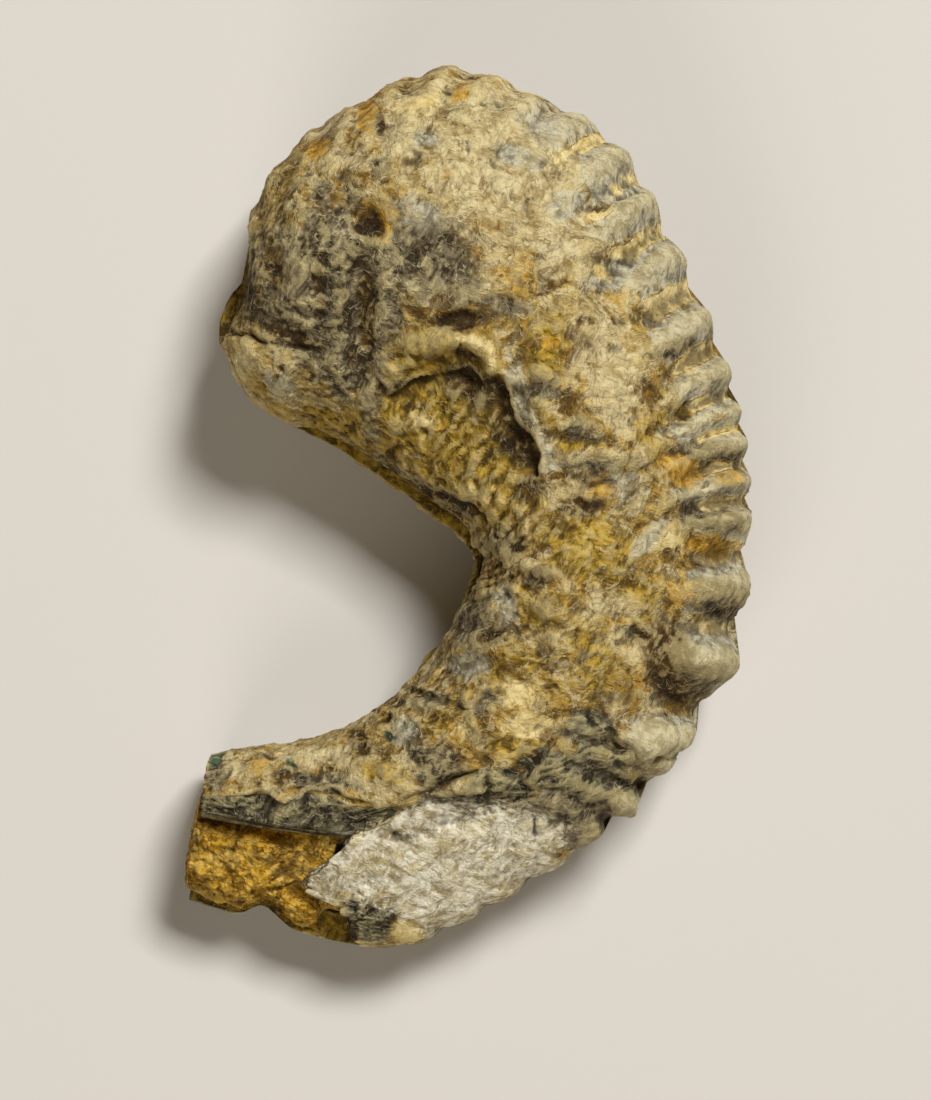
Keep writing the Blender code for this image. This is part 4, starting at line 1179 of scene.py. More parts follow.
@dataclass
class UpperValve:
    """The valve on top, up to its ragged break near the tail.

    Args:
        rows: Stations of its outside.
        columns: Angles of its outside.
        spaced_at: How far across the shell its stations are evenly spaced.
        inside_rows: Stations of its inside.
        inside_columns: Angles of its inside.
        face_rows: Points through the thickness of the broken edge.
    """

    rows: int = 470
    columns: int = 182
    spaced_at: float = 0.72
    inside_rows: int = 60
    inside_columns: int = 14
    face_rows: int = 14

    def broken_end(self, angle: Array, inner: bool) -> Array:
        """Station of the ragged break. The inside's edge lies a little further round."""
        wander = np.stack([angle / 5.0, np.zeros_like(angle), np.zeros_like(angle)], axis=-1)
        ragged = 0.07 * cloud(wander, 1.0, 90, 3) * smooth_step(np.minimum(angle, 180 - angle) / 12)
        return np.interp(angle + (2.0 if inner else 0.0), BREAK_ANGLES, BREAK_STATIONS) + ragged

    def drawn_back(self, station: Array, angle: Array, inner: bool) -> Array:
        """Stations with those near the tail drawn back to the break, in proportion."""
        share = (station - BREAK_STARTS) / (TAIL_STATION - BREAK_STARTS)
        ends = self.broken_end(angle, inner)
        return np.where(share > 0, BREAK_STARTS + share * (ends - BREAK_STARTS), station)

    def outside(self) -> Sheet:
        """The ribbed outside, weathered all over but for the joint and the beak's tip.

        Returns:
            The grid.
        """
        station, angle = grid_of(
            FORM.even_stations(self.rows, self.spaced_at), FORM.even_angles(self.columns, 0, 180)
        )
        station = self.drawn_back(station, angle, False)
        points = FORM.skin(station, angle, Valve.UPPER)
        points[..., 2] += half_gap(angle)
        marks = WEATHER.marks(points)
        self.mark_ribs(marks, points, station, angle)
        by_joint = smooth_step(np.minimum(angle, 180 - angle) / 6.0)
        by_beak = smooth_step(station / 0.35)
        return WEATHER.apply(Sheet(points), marks, WEATHER.creases(points), by_joint * by_beak)

    def mark_ribs(self, marks: dict[str, Array], points: Array, station: Array, angle: Array) -> None:
        """Lays clean grey shell on the flank's ribs, yellow fill in its grooves, and the tail's layers.

        Args:
            marks: The covers to change.
            points: Places.
            station: The station where a point's rib line meets the outer margin.
            angle: Angles.
        """
        line = FORM.rib_line(station, Valve.UPPER)
        flank = FORM.flank_share(np.cos(np.radians(angle))) * FORM.rib_reach(station, angle)
        flank = flank * smooth_step(station, 6.4, 8.4)
        crest = smooth_step(flank, 0.10, 0.5) * smooth_step(line, 0.35, 0.65)
        crest *= smooth_step(station, 15.0, 14.5)
        valley = smooth_step(flank, 0.35, 0.85) * smooth_step(line, 0.80, 0.35)
        valley *= smooth_step(station, 12.4, 11.6)
        valley *= 1.0 + 0.7 * cloud(points, 2.2, 151, 3)
        lost = FORM.terrace(FORM.slanted(station, angle), angle)
        layers = smooth_step(lost, 0.02, 0.12) * smooth_step(angle, 93.0, 98.0)
        layers *= smooth_step(station, 15.9, 16.6)
        marks[BARE] = np.maximum(marks[BARE], CREST_COVER * crest)
        marks[YELLOW] = np.maximum(marks[YELLOW] * (1 - 0.6 * crest), VALLEY_COVER * valley)
        marks[SLATE] = np.maximum(marks[SLATE], 1.2 * layers)
        marks[CHALK] *= smooth_step(lost, 0.2, 0.7) * (1 - layers)

    def broken_face(self, last_row: Array) -> Sheet:
        """The layered edge of the break: rows from the outside's end down to the inside's.

        Each row lies part of the way between the two, pushed in and out in steps, as thin layers do.

        Args:
            last_row: The outside's last row of points.

        Returns:
            The rows below that one.
        """
        angle = FORM.even_angles(self.columns, 0, 180)
        foot = FORM.inside(self.broken_end(angle, True), angle)
        depth = np.linspace(0, 1, self.face_rows + 1)[1:, None, None]
        rows = last_row[None] * (1 - depth) + foot[None] * depth
        out = last_row - FORM.skin(self.broken_end(angle, False) - 0.5, angle, Valve.UPPER)
        out /= np.maximum(np.linalg.norm(out, axis=-1, keepdims=True), 1e-6)
        layer = 0.42 * noise(rows * BROKEN_LAYERS, 1.0, 95) + 0.16 * crinkle(rows, 1.1, 96, 3)
        rows = rows + out[None] * (layer * np.sin(np.pi * depth[..., 0]))[..., None]
        marks = WEATHER.marks(rows)
        marks[SLATE] = np.ones(rows.shape[:2])
        # Painted shade and light across the layers: those pushed out get the hollows' dark, those drawn
        # in the crests' light.
        marks[RECESS] = 0.70 + 0.3 * np.sign(layer)
        return Sheet(rows, marks)

    def build(self, material: Material) -> Object:
        """Builds the valve: outside, broken face, inside, joint faces and the closed beak end.

        Args:
            material: Its finish.

        Returns:
            The object.
        """
        shell = ShellMesh("upper_shell")
        outside = self.outside()
        outer = shell.add(outside)
        face = shell.add(self.broken_face(outside.points[-1]))
        shell.zip(outer[-1], face[0])
        station, angle = grid_of(
            np.linspace(0, TAIL_STATION, self.inside_rows), np.linspace(0, 180, self.inside_columns)
        )
        hidden = FORM.inside(self.drawn_back(station, angle, True), angle)
        hidden[..., 2] += half_gap(angle)
        inner = shell.add(Sheet(hidden))
        shell.zip(face[-1], inner[-1])
        shell.zip(outer[0], inner[0])
        for side in (0, -1):
            shell.zip(np.concatenate([outer[:, side], face[:, side]]), inner[:, side])
        return shell.finish(material, "root", "upper_valve", "upper_shell")


@dataclass
class LowerValve:
    """The valve underneath, with the worn scar that the shell rests on.

    Args:
        rows: Stations of its outside and its inside.
        columns: Angles of its outside.
        spaced_at: How far across the shell its stations are evenly spaced.
        rim_columns: Points across the joint face.
        inside_columns: Angles of its inside.
    """

    rows: int = 420
    columns: int = 120
    spaced_at: float = 0.8
    rim_columns: int = 9
    inside_columns: int = 16

    def worn_flat(self, points: Array) -> Array:
        """Heights with what is under the resting plane worn off, and the scar cut flat on it."""
        z = points[..., 2] - WEAR
        reach = np.hypot(points[..., 0] - SCAR_CENTRE[0], points[..., 1] - SCAR_CENTRE[1])
        return np.where((reach < SCAR_RADIUS) & (z < SCAR_RISE), 0.0, np.maximum(z, 0.0))

    def outside(self) -> Sheet:
        """The ribbed outside, weathered, with the scar worn into it after.

        Returns:
            The grid.
        """
        station, angle = grid_of(
            FORM.even_stations(self.rows, self.spaced_at), FORM.even_angles(self.columns, 180, 360)[::-1]
        )
        points = FORM.skin(station, angle, Valve.LOWER)
        points[..., 2] -= half_gap(angle)
        marks = covers(angle.shape)
        blotch = cloud(points, 9.0, 111, 3)
        marks[BARE] = smooth_step(blotch, -0.3, 0.5) * 0.8
        marks[YELLOW] = smooth_step(-blotch, 0.2, 0.9) * 0.62
        mossy = smooth_step(cloud(points, 7.0, 112, 3), 0.1, 0.7) * 0.7
        by_hollow = smooth_step(-np.cos(np.radians(angle)), 0.4, 0.9) * 0.8
        marks[OLIVE] = np.maximum(mossy, by_hollow)
        by_joint = smooth_step(np.minimum(angle - 180, 360 - angle) / 4.0)
        done = WEATHER.apply(Sheet(points), marks, 0.0, by_joint)
        done.points[..., 2] = self.worn_flat(done.points)
        return done

    def rim(self, outer: Array, inner: Array) -> Sheet:
        """The joint face: points across from the outside's edge to the inside's, roughened.

        Args:
            outer: The outside's points on the joint.
            inner: The inside's points on the joint.

        Returns:
            The grid between them.
        """
        across = np.linspace(0, 1, self.rim_columns + 2)[1:-1]
        points = outer[:, None] * (1 - across[:, None]) + inner[:, None] * across[:, None]
        points[..., 2] += 0.18 * crinkle(points, 1.3, 121, 3) * np.sin(np.pi * across) - 0.05
        marks = covers(points.shape[:2])
        marks[OLIVE] += 0.75
        marks[RECESS] = np.full(points.shape[:2], 0.5)
        return Sheet(points, marks)

    def build(self, material: Material) -> Object:
        """Builds the valve: outside, joint faces, inside and both ends.

        Args:
            material: Its finish.

        Returns:
            The object.
        """
        shell = ShellMesh("lower_shell")
        outside = self.outside()
        outer = shell.add(outside)
        station, angle = grid_of(
            FORM.even_stations(self.rows, self.spaced_at), np.linspace(360, 180, self.inside_columns)
        )
        hidden = FORM.inside(station, angle)
        hidden[..., 2] -= half_gap(angle) + WEAR
        inner = shell.add(Sheet(hidden))
        rims = []
        for side in (0, -1):
            rim = shell.add(self.rim(outside.points[:, side], hidden[:, side]))
            shell.zip(outer[:, side], rim[:, 0])
            shell.zip(rim[:, -1], inner[:, side])
            rims.append(rim)
        for end in (0, -1):
            shell.zip(np.concatenate([rims[0][end][::-1], outer[end], rims[1][end]]), inner[end])
        return shell.finish(material, "root", "lower_valve", "lower_shell")


@dataclass
class SedimentFill:
    """The stone between the valves, bare and broken at the tail.

    Args:
        covered: Stations where the valves hide it: the first, the last and how many.
        bare: Stations where it may show.
        columns: Points round it.
        clear: How far from the joint's plane its first and last angles are, in degrees.
        hidden_rings: Rings across its end in the beak.
        cap_rings: Rings across its broken end.
        marked_above: Height over which patches colour it.
    """

    covered: tuple[float, float, int] = (2.3, 15.8, 26)
    bare: tuple[float, float, int] = (15.9, 19.06, 210)
    columns: int = 300
    clear: float = 2.0
    hidden_rings: int = 3
    cap_rings: int = 40
    marked_above: float = 8.0

    def bareness(self, station: Array, angle: Array) -> Array:
        """1 where the fill is bare: past the upper valve's break, a step and a turn clear of it."""
        turns = (angle - BARE_TURN, angle, angle + BARE_TURN)
        ends = np.max([np.interp(turn, BREAK_ANGLES, BREAK_STATIONS) for turn in turns], axis=0)
        return smooth_step((station - ends - BARE_STEP) / 0.3) * ((angle > 0) & (angle < 180))

    def surface(self, station: Array, angle: Array) -> Sheet:
        """The fill's skin: close inside the valves, and rough and nearly full size where it is bare.

        Args:
            station: Stations.
            angle: Angles.

        Returns:
            The grid.
        """
        bare = self.bareness(station, angle)
        inset = WALL + FIT_GAP + (FILL_BARE_DEPTH - WALL - FIT_GAP) * bare
        points, way, sine, cosine = FORM.section(station, angle, inset)
        joint = FORM.rows(station)[..., 4]
        points[..., 2] = joint + (points[..., 2] - joint) * FORM.opening(station)
        points[..., 2] -= FILL_BARE_SINK * bare * sine
        points[..., 0:2] -= way * FORM.notch(points[..., 0], points[..., 1])[..., None]
        grain = 0.55 * cloud(points, 3.2, 131, 5) + 0.22 * crinkle(points, 1.3, 133, 3)
        owner, edge = chips(points, 0.8, 135)
        grain += 0.14 * owner - 0.10 * np.exp(-((edge / 0.2) ** 2))
        amount = grain * (0.15 + 0.85 * bare) - 0.05
        points[..., 0:2] += way * (amount * cosine)[..., None]
        points[..., 2] += amount * sine
        marks = WEATHER.marks(points, (points[..., 2] > self.marked_above).astype(float))
        del marks[CHALK]
        # Painted shade in the low places of the grain.
        marks[RECESS] = np.clip(0.5 - 0.9 * grain, 0, 1)
        return Sheet(points, marks)

    def cap(self, ring: Array, rings: int, broken: bool) -> Sheet:
        """Rings that shrink to the middle of an end.

        Args:
            ring: The end's last ring of points.
            rings: How many rings.
            broken: Whether it is the tail's end, which bulges and is rough.

        Returns:
            The rings, as a grid.
        """
        middle = ring.mean(axis=0)
        share = np.linspace(1, 0.02, rings + 1)[1:, None, None]
        points = middle + (ring - middle)[None] * share
        if broken:
            before, last = (FORM.rows(np.array(station))[0:2] for station in (18.0, 19.0))
            out = np.array([*((last - before) / np.linalg.norm(last - before)), 0.0])
            rough = 0.5 * cloud(points, 3.2, 141, 5) + 0.2 * crinkle(points, 1.3, 143, 3)
            bulge = rough * (1 - share[..., 0]) ** 0.3 + 0.3 * (1 - share[..., 0] ** 2)
            points = points + out * bulge[..., None]
        return Sheet(points, {**covers(points.shape[:2]), RECESS: np.full(points.shape[:2], 0.5)})

    def build(self, material: Material) -> Object:
        """Builds the fill: a tube of stations, closed at each end by a cap.

        Args:
            material: Its finish.

        Returns:
            The object.
        """
        shell = ShellMesh("sediment")
        spans = ((self.clear, 180 - self.clear), (180 + self.clear, 360 - self.clear))
        angles = np.concatenate([FORM.even_angles(self.columns // 2, *span) for span in spans])
        stations = np.concatenate([np.linspace(*self.covered), np.linspace(*self.bare)])
        body = self.surface(*grid_of(stations, angles))
        tube = shell.add(body)
        shell.zip(tube[:, -1], tube[:, 0])
        for end, rings in ((0, self.hidden_rings), (-1, self.cap_rings)):
            cap = shell.add(self.cap(body.points[end], rings, end == -1))
            shell.zip(cap[:, -1], cap[:, 0])
            shell.zip(tube[end], cap[0])
            shell.faces.append(np.array([[tube[end][0], tube[end][-1], cap[0][-1], cap[0][0]]]))
            shell.faces.append(cap[-1][None])
        return shell.finish(material, "root", "sediment_fill", "sediment")


# ---- finishes ----


FLOAT, COLOUR = "NodeSocketFloat", "NodeSocketColor"
RESULT = {"Colour": COLOUR, "Mask": FLOAT}
# Painted shade: how far the hollows darken, and how far the crests lighten.
PAINTED_SHADE_LEVELS = {"Depth": 0.72, "Height": 0.35}  # how far hollows darken, and crests lighten
GLOSS = 0.3  # the share of light that the stone reflects like a mirror
# The dark lines are painted shadows, drawn just beside the light ones.
LINE_LEVELS = (0.500, 0.524)  # the levels of Curl that the light lines and the dark ones follow


def linear(red: int, green: int, blue: int) -> tuple[float, float, float, float]:
    """A colour of 0 to 255 values as the scene-linear colour that nodes take."""
    parts = [value / 255 for value in (red, green, blue)]
    return (*(p / 12.92 if p <= 0.04045 else ((p + 0.055) / 1.055) ** 2.4 for p in parts), 1.0)


class NodeWriter:
    """Adds nodes and links to one node tree."""

    def __init__(self, tree: NodeTree) -> None:
        """Keeps the tree to write into."""
        self.tree = tree

    def feed(self, socket: Socket, value: Socket | float | tuple) -> None:
        """Puts a value on an input, or links another node's output to it."""
        if isinstance(value, Socket):
            self.tree.links.new(value, socket)
        else:
            socket.default_value = value

    def node(self, kind: str, inputs: dict | None = None, **settings: object) -> Node:
        """Adds a node.

        Args:
            kind: The shader node's type, such as Mix.
            inputs: Values or sockets for its inputs, by name or number.
            settings: Properties of the node.

        Returns:
            The node.
        """
        made = self.tree.nodes.new("ShaderNode" + kind)
        for name, value in settings.items():
            setattr(made, name, value)
        for key, value in (inputs or {}).items():
            self.feed(made.inputs[key], value)
        return made

    def noise(
        self, where: Socket, size: float, detail: float, rough: float, bend: float = 0.0, **kind: str
    ) -> Node:
        """A Noise texture.

        Args:
            where: The coordinates.
            size: Size of its broadest features, in metres.
            detail: How many finer layers it has.
            rough: Height of a layer, as a share of the one before.
            bend: How far it is distorted.
            kind: Its noise_type, where that isn't the plain one.

        Returns:
            The node.
        """
        values = {"Vector": where, "Scale": 1 / size, "Detail": detail, "Roughness": rough}
        return self.node("TexNoise", {**values, "Distortion": bend}, **kind)

    def streaks(self, where: Socket, size: float, turn: float) -> Socket:
        """A cloud of strokes of this width that lie along Y, turned round Z by this angle in radians."""
        combed = {"Vector": where, "Rotation": (0.35, 0.25, turn), "Scale": (1.0, 3.2, 1.4)}
        place = self.node("Mapping", combed, vector_type="TEXTURE").outputs[0]
        return self.noise(place, size, 3.0, 0.62, 0.9).outputs["Fac"]

    def vector(self, operation: str, inputs: dict) -> Socket:
        """A Vector Math node's result."""
        return self.node("VectorMath", inputs, operation=operation).outputs[0]

    def flakes(self, where: Socket, size: float, bend: float, reach: float) -> Node:
        """Flat cells with bent outlines.

        Args:
            where: The coordinates.
            size: Width of a cell, in metres.
            bend: Size of the cloud that bends them.
            reach: How far it moves them.

        Returns:
            The Voronoi node.
        """
        cloudy = self.noise(where, bend, 2.0, 0.55).outputs["Color"]
        middle = self.vector("SUBTRACT", {0: cloudy, 1: (0.5, 0.5, 0.5)})
        shift = self.vector("SCALE", {0: middle, "Scale": reach})
        moved = self.vector("ADD", {0: where, 1: shift})
        return self.node("TexVoronoi", {"Vector": moved, "Scale": 1 / size})

    def ramp(
        self, value: Socket, low: Socket | float, high: Socket | float, ends: Point = (0.0, 1.0)
    ) -> Socket:
        """Maps a value smoothly from low and high to the two ends."""
        inputs = {"Value": value, "From Min": low, "From Max": high, "To Min": ends[0]}
        inputs["To Max"] = ends[1]
        return self.node("MapRange", inputs, interpolation_type="SMOOTHSTEP").outputs["Result"]

    def math(self, operation: str, first: Socket | float, second: Socket | float = 0.0) -> Socket:
        """A Math node's result."""
        return self.node("Math", {0: first, 1: second}, operation=operation).outputs[0]

    def mix(self, share: Socket, first: Socket | tuple, second: Socket | tuple) -> Socket:
        """Two colours mixed, by the second's share."""
        inputs = {0: share, 6: first, 7: second}
        return self.node("Mix", inputs, data_type="RGBA", blend_type="MIX", clamp_factor=True).outputs[2]

    def attribute(self, name: str) -> Socket:
        """The value of a mesh attribute."""
        return self.node("Attribute", attribute_name=name).outputs["Fac"]


Sockets = dict[str, Socket]


def new_group(
    name: str, colours: tuple[str, ...], numbers: tuple[str, ...], results: dict[str, str]
) -> tuple[NodeWriter, Sockets, Sockets]:
    """Makes an empty node group.

    Args:
        name: The group's name.
        colours: Its inputs that are colours.
        numbers: Its inputs that are numbers.
        results: Socket types of its outputs, by name.

    Returns:
        A writer for it, its inputs and its outputs.
    """
    tree = bpy.data.node_groups.new(name, "ShaderNodeTree")
    for label in (*colours, *numbers):
        kind = COLOUR if label in colours else FLOAT
        tree.interface.new_socket(label, in_out="INPUT", socket_type=kind)
    for label, kind in results.items():
        tree.interface.new_socket(label, in_out="OUTPUT", socket_type=kind)
    into, out = tree.nodes.new("NodeGroupInput"), tree.nodes.new("NodeGroupOutput")
    return NodeWriter(tree), into.outputs, out.inputs


class GroupBench:
    """The node groups that the finishes share, each made once."""

    def __init__(self) -> None:
        """Makes the groups."""
        self.weather = self.make_weather()
        self.stain = self.make_stain()
        self.painted_shade = self.make_painted_shade()

    def make_weather(self) -> NodeTree:
        """The shared patterns on object coordinates.

        Broad, Mottle, Fine and Crumb are clouds, from wide to small; Gold, Grey and Cream are three
        unlike ones of one size; Curl is a soft one to draw thin lines from. Dab, Hue and Step are flat
        values of bent little flakes, Seam shows where they meet, and Stroke is for smaller flakes.
        Streak and Sweep are clouds combed two ways, place by place, and Folds are winding crests.

        Returns:
            The group.
        """
        labels = "Gold Grey Cream Broad Mottle Fine Crumb Streak Sweep Folds Dab Hue Step Seam Stroke"
        labels = [*labels.split(), "Curl"]
        write, _, out = new_group("weather_noise", (), (), dict.fromkeys(labels, FLOAT))
        where = write.node("TexCoord").outputs["Object"]
        for label, size, detail, bend in (
            ("Broad", 0.0068, 3.0, 0.3),
            ("Mottle", 0.0021, 3.0, 0.6),
            ("Fine", 0.0008, 3.0, 0.8),
            ("Crumb", 0.00036, 2.0, 1.2),
            ("Curl", 0.0027, 1.5, 1.5),
        ):
            write.feed(out[label], write.noise(where, size, detail, 0.6, bend).outputs["Fac"])
        wide = write.noise(where, 0.0036, 4.0, 0.66, 0.9).outputs["Color"]
        parts = write.node("SeparateColor", {"Color": wide}).outputs
        for label, channel in zip(labels[:3], ("Red", "Green", "Blue")):
            write.feed(out[label], parts[channel])
        share = write.ramp(parts["Green"], 0.47, 0.53)
        for label, size in (("Streak", 0.00055), ("Sweep", 0.00125)):
            level, across = (write.streaks(where, size, turn) for turn in (1.3, -0.4))
            kept = write.math("MULTIPLY", level, write.math("SUBTRACT", 1.0, share))
            write.feed(out[label], write.math("ADD", kept, write.math("MULTIPLY", across, share)))
        folds = write.noise(where, 0.0013, 4.0, 0.55, 0.8, noise_type="RIDGED_MULTIFRACTAL")
        write.feed(out["Folds"], folds.outputs["Fac"])
        for size, bend, reach, wanted in (
            (0.00125, 0.0019, 0.0034, {"Dab": "Red", "Hue": "Green", "Step": "Blue"}),
            (0.00050, 0.0008, 0.0013, {"Stroke": "Red"}),
        ):
            cells = write.flakes(where, size, bend, reach).outputs
            flat = write.node("SeparateColor", {"Color": cells["Color"]}).outputs
            for label, channel in wanted.items():
                write.feed(out[label], flat[channel])
            if "Dab" in wanted:
                write.feed(out["Seam"], cells["Distance"])
        return write.tree

    def make_stain(self) -> NodeTree:
        """Lays a mottled stain over a colour, with a ragged edge where its cover crosses a half.

        Returns:
            The group.
        """
        numbers = ("Cover", "Edge", "Mottle", "Ragged", "Soft")
        write, into, out = new_group("stain_layer", ("Under", "Light", "Dark"), numbers, RESULT)
        swing = write.math("MULTIPLY", write.math("SUBTRACT", into["Edge"], 0.5), into["Ragged"])
        level = write.math("ADD", into["Cover"], write.math("MULTIPLY", swing, 2.0))
        low, high = (write.math(way, 0.5, into["Soft"]) for way in ("SUBTRACT", "ADD"))
        mask = write.ramp(level, low, high)
        colour = write.mix(write.ramp(into["Mottle"], 0.41, 0.59), into["Dark"], into["Light"])
        write.feed(out["Colour"], write.mix(mask, into["Under"], colour))
        write.feed(out["Mask"], mask)
        return write.tree

    def make_painted_shade(self) -> NodeTree:
        """Paints shade into the hollows of a colour and lightens its crests, by the mesh's recess and a
        noise.

        Returns:
            The group.
        """
        write, into, out = new_group(
            "painted_shade", ("Under", "Hollow", "Crest"), ("Recess", "Noise", "Depth", "Height"), RESULT
        )
        swing = write.math("MULTIPLY", write.math("SUBTRACT", into["Noise"], 0.5), 0.5)
        level = write.math("ADD", into["Recess"], swing)
        dark = write.math("MULTIPLY", write.ramp(level, 0.56, 1.0), into["Depth"])
        light = write.math("MULTIPLY", write.ramp(level, 0.46, 0.16), into["Height"])
        shaded = write.mix(dark, into["Under"], into["Hollow"])
        write.feed(out["Colour"], write.mix(light, shaded, into["Crest"]))
        write.feed(out["Mask"], dark)
        return write.tree


@dataclass(frozen=True)
class StainLook:
    """How one stain is coloured.

    Args:
        stain: Which stain.
        light: Its lighter colour.
        dark: Its darker colour.
        ragged: How far noise moves its edge.
        soft: Half the width of its edge, as a share of cover.
        calm: How far it quiets the strokes, crumbs and bump.
    """

    stain: Stain
    light: Rgb
    dark: Rgb
    ragged: float = 0.8
    soft: float = 0.10
    calm: float = 0.0


SHELL_STAINS = (
    StainLook(PALE, (222, 206, 156), (174, 149, 95), 0.9, 0.22, 0.2),
    StainLook(OLIVE, (188, 152, 48), (92, 70, 8), 0.9, 0.20, 0.5),
    StainLook(BARE, (203, 196, 168), (134, 126, 99), 0.8, 0.16, 0.38),
    StainLook(DUSK, (138, 125, 94), (50, 38, 16), 0.8, 0.18, 0.15),
    StainLook(YELLOW, (240, 219, 156), (218, 188, 112), 0.8, 0.18, 0.5),
    StainLook(ORANGE, (208, 160, 46), (140, 100, 14), 0.95, 0.22, 0.4),
    StainLook(BROWN, (94, 68, 20), (40, 27, 5), 0.7, 0.18, 0.3),
    StainLook(SLATE, (128, 120, 90), (32, 29, 16), 0.6, 0.12, 0.3),
    StainLook(CHALK, (238, 231, 206), (168, 152, 112), 0.5, 0.10, 0.35),
    StainLook(TEAL, (74, 100, 72), (36, 60, 42), 0.9, 0.14, 0.5),
)


@dataclass(frozen=True)
class Finish:
    """A weathered stone: a crust colour, stains by their covers, strokes, crumbs, painted shade in the
    hollows and bump.

    Args:
        name: The material's name.
        light: The crust's light colour.
        dark: Its dark colour.
        deep: The colour of the painted shade in its hollows, and of the dark strokes, crumbs, seams and
            lines.
        crest: The colour that its crests lighten to, and of the light strokes.
        stains: The stains laid on it, from the lowest up.
        tones: The golden, grey and cream tones that it varies to.
        tone_share: How strongly they show.
        thread: The colour of the light strokes.
        thread_share: How strongly they and the dark ones between them show.
        crumb_share: How strongly the crumbs show.
        seam_share: How strongly the seams between flakes show.
        line_share: How strongly the thin lines show.
        grain: Share of small flat flakes in the crumbs.
        roughness: Its roughness.
        bump: Height of the bump, in metres.
    """

    name: str
    light: Rgb
    dark: Rgb
    deep: Rgb
    crest: Rgb
    stains: tuple[StainLook, ...]
    tones: tuple = ((186, 142, 50), (132, 117, 82), (218, 198, 146))
    tone_share: float = 0.8
    thread: Rgb = (228, 212, 166)
    thread_share: float = 0.42
    crumb_share: float = 0.44
    seam_share: float = 0.20
    line_share: float = 0.5
    grain: float = 0.08
    roughness: float = 0.86
    bump: float = 0.00052


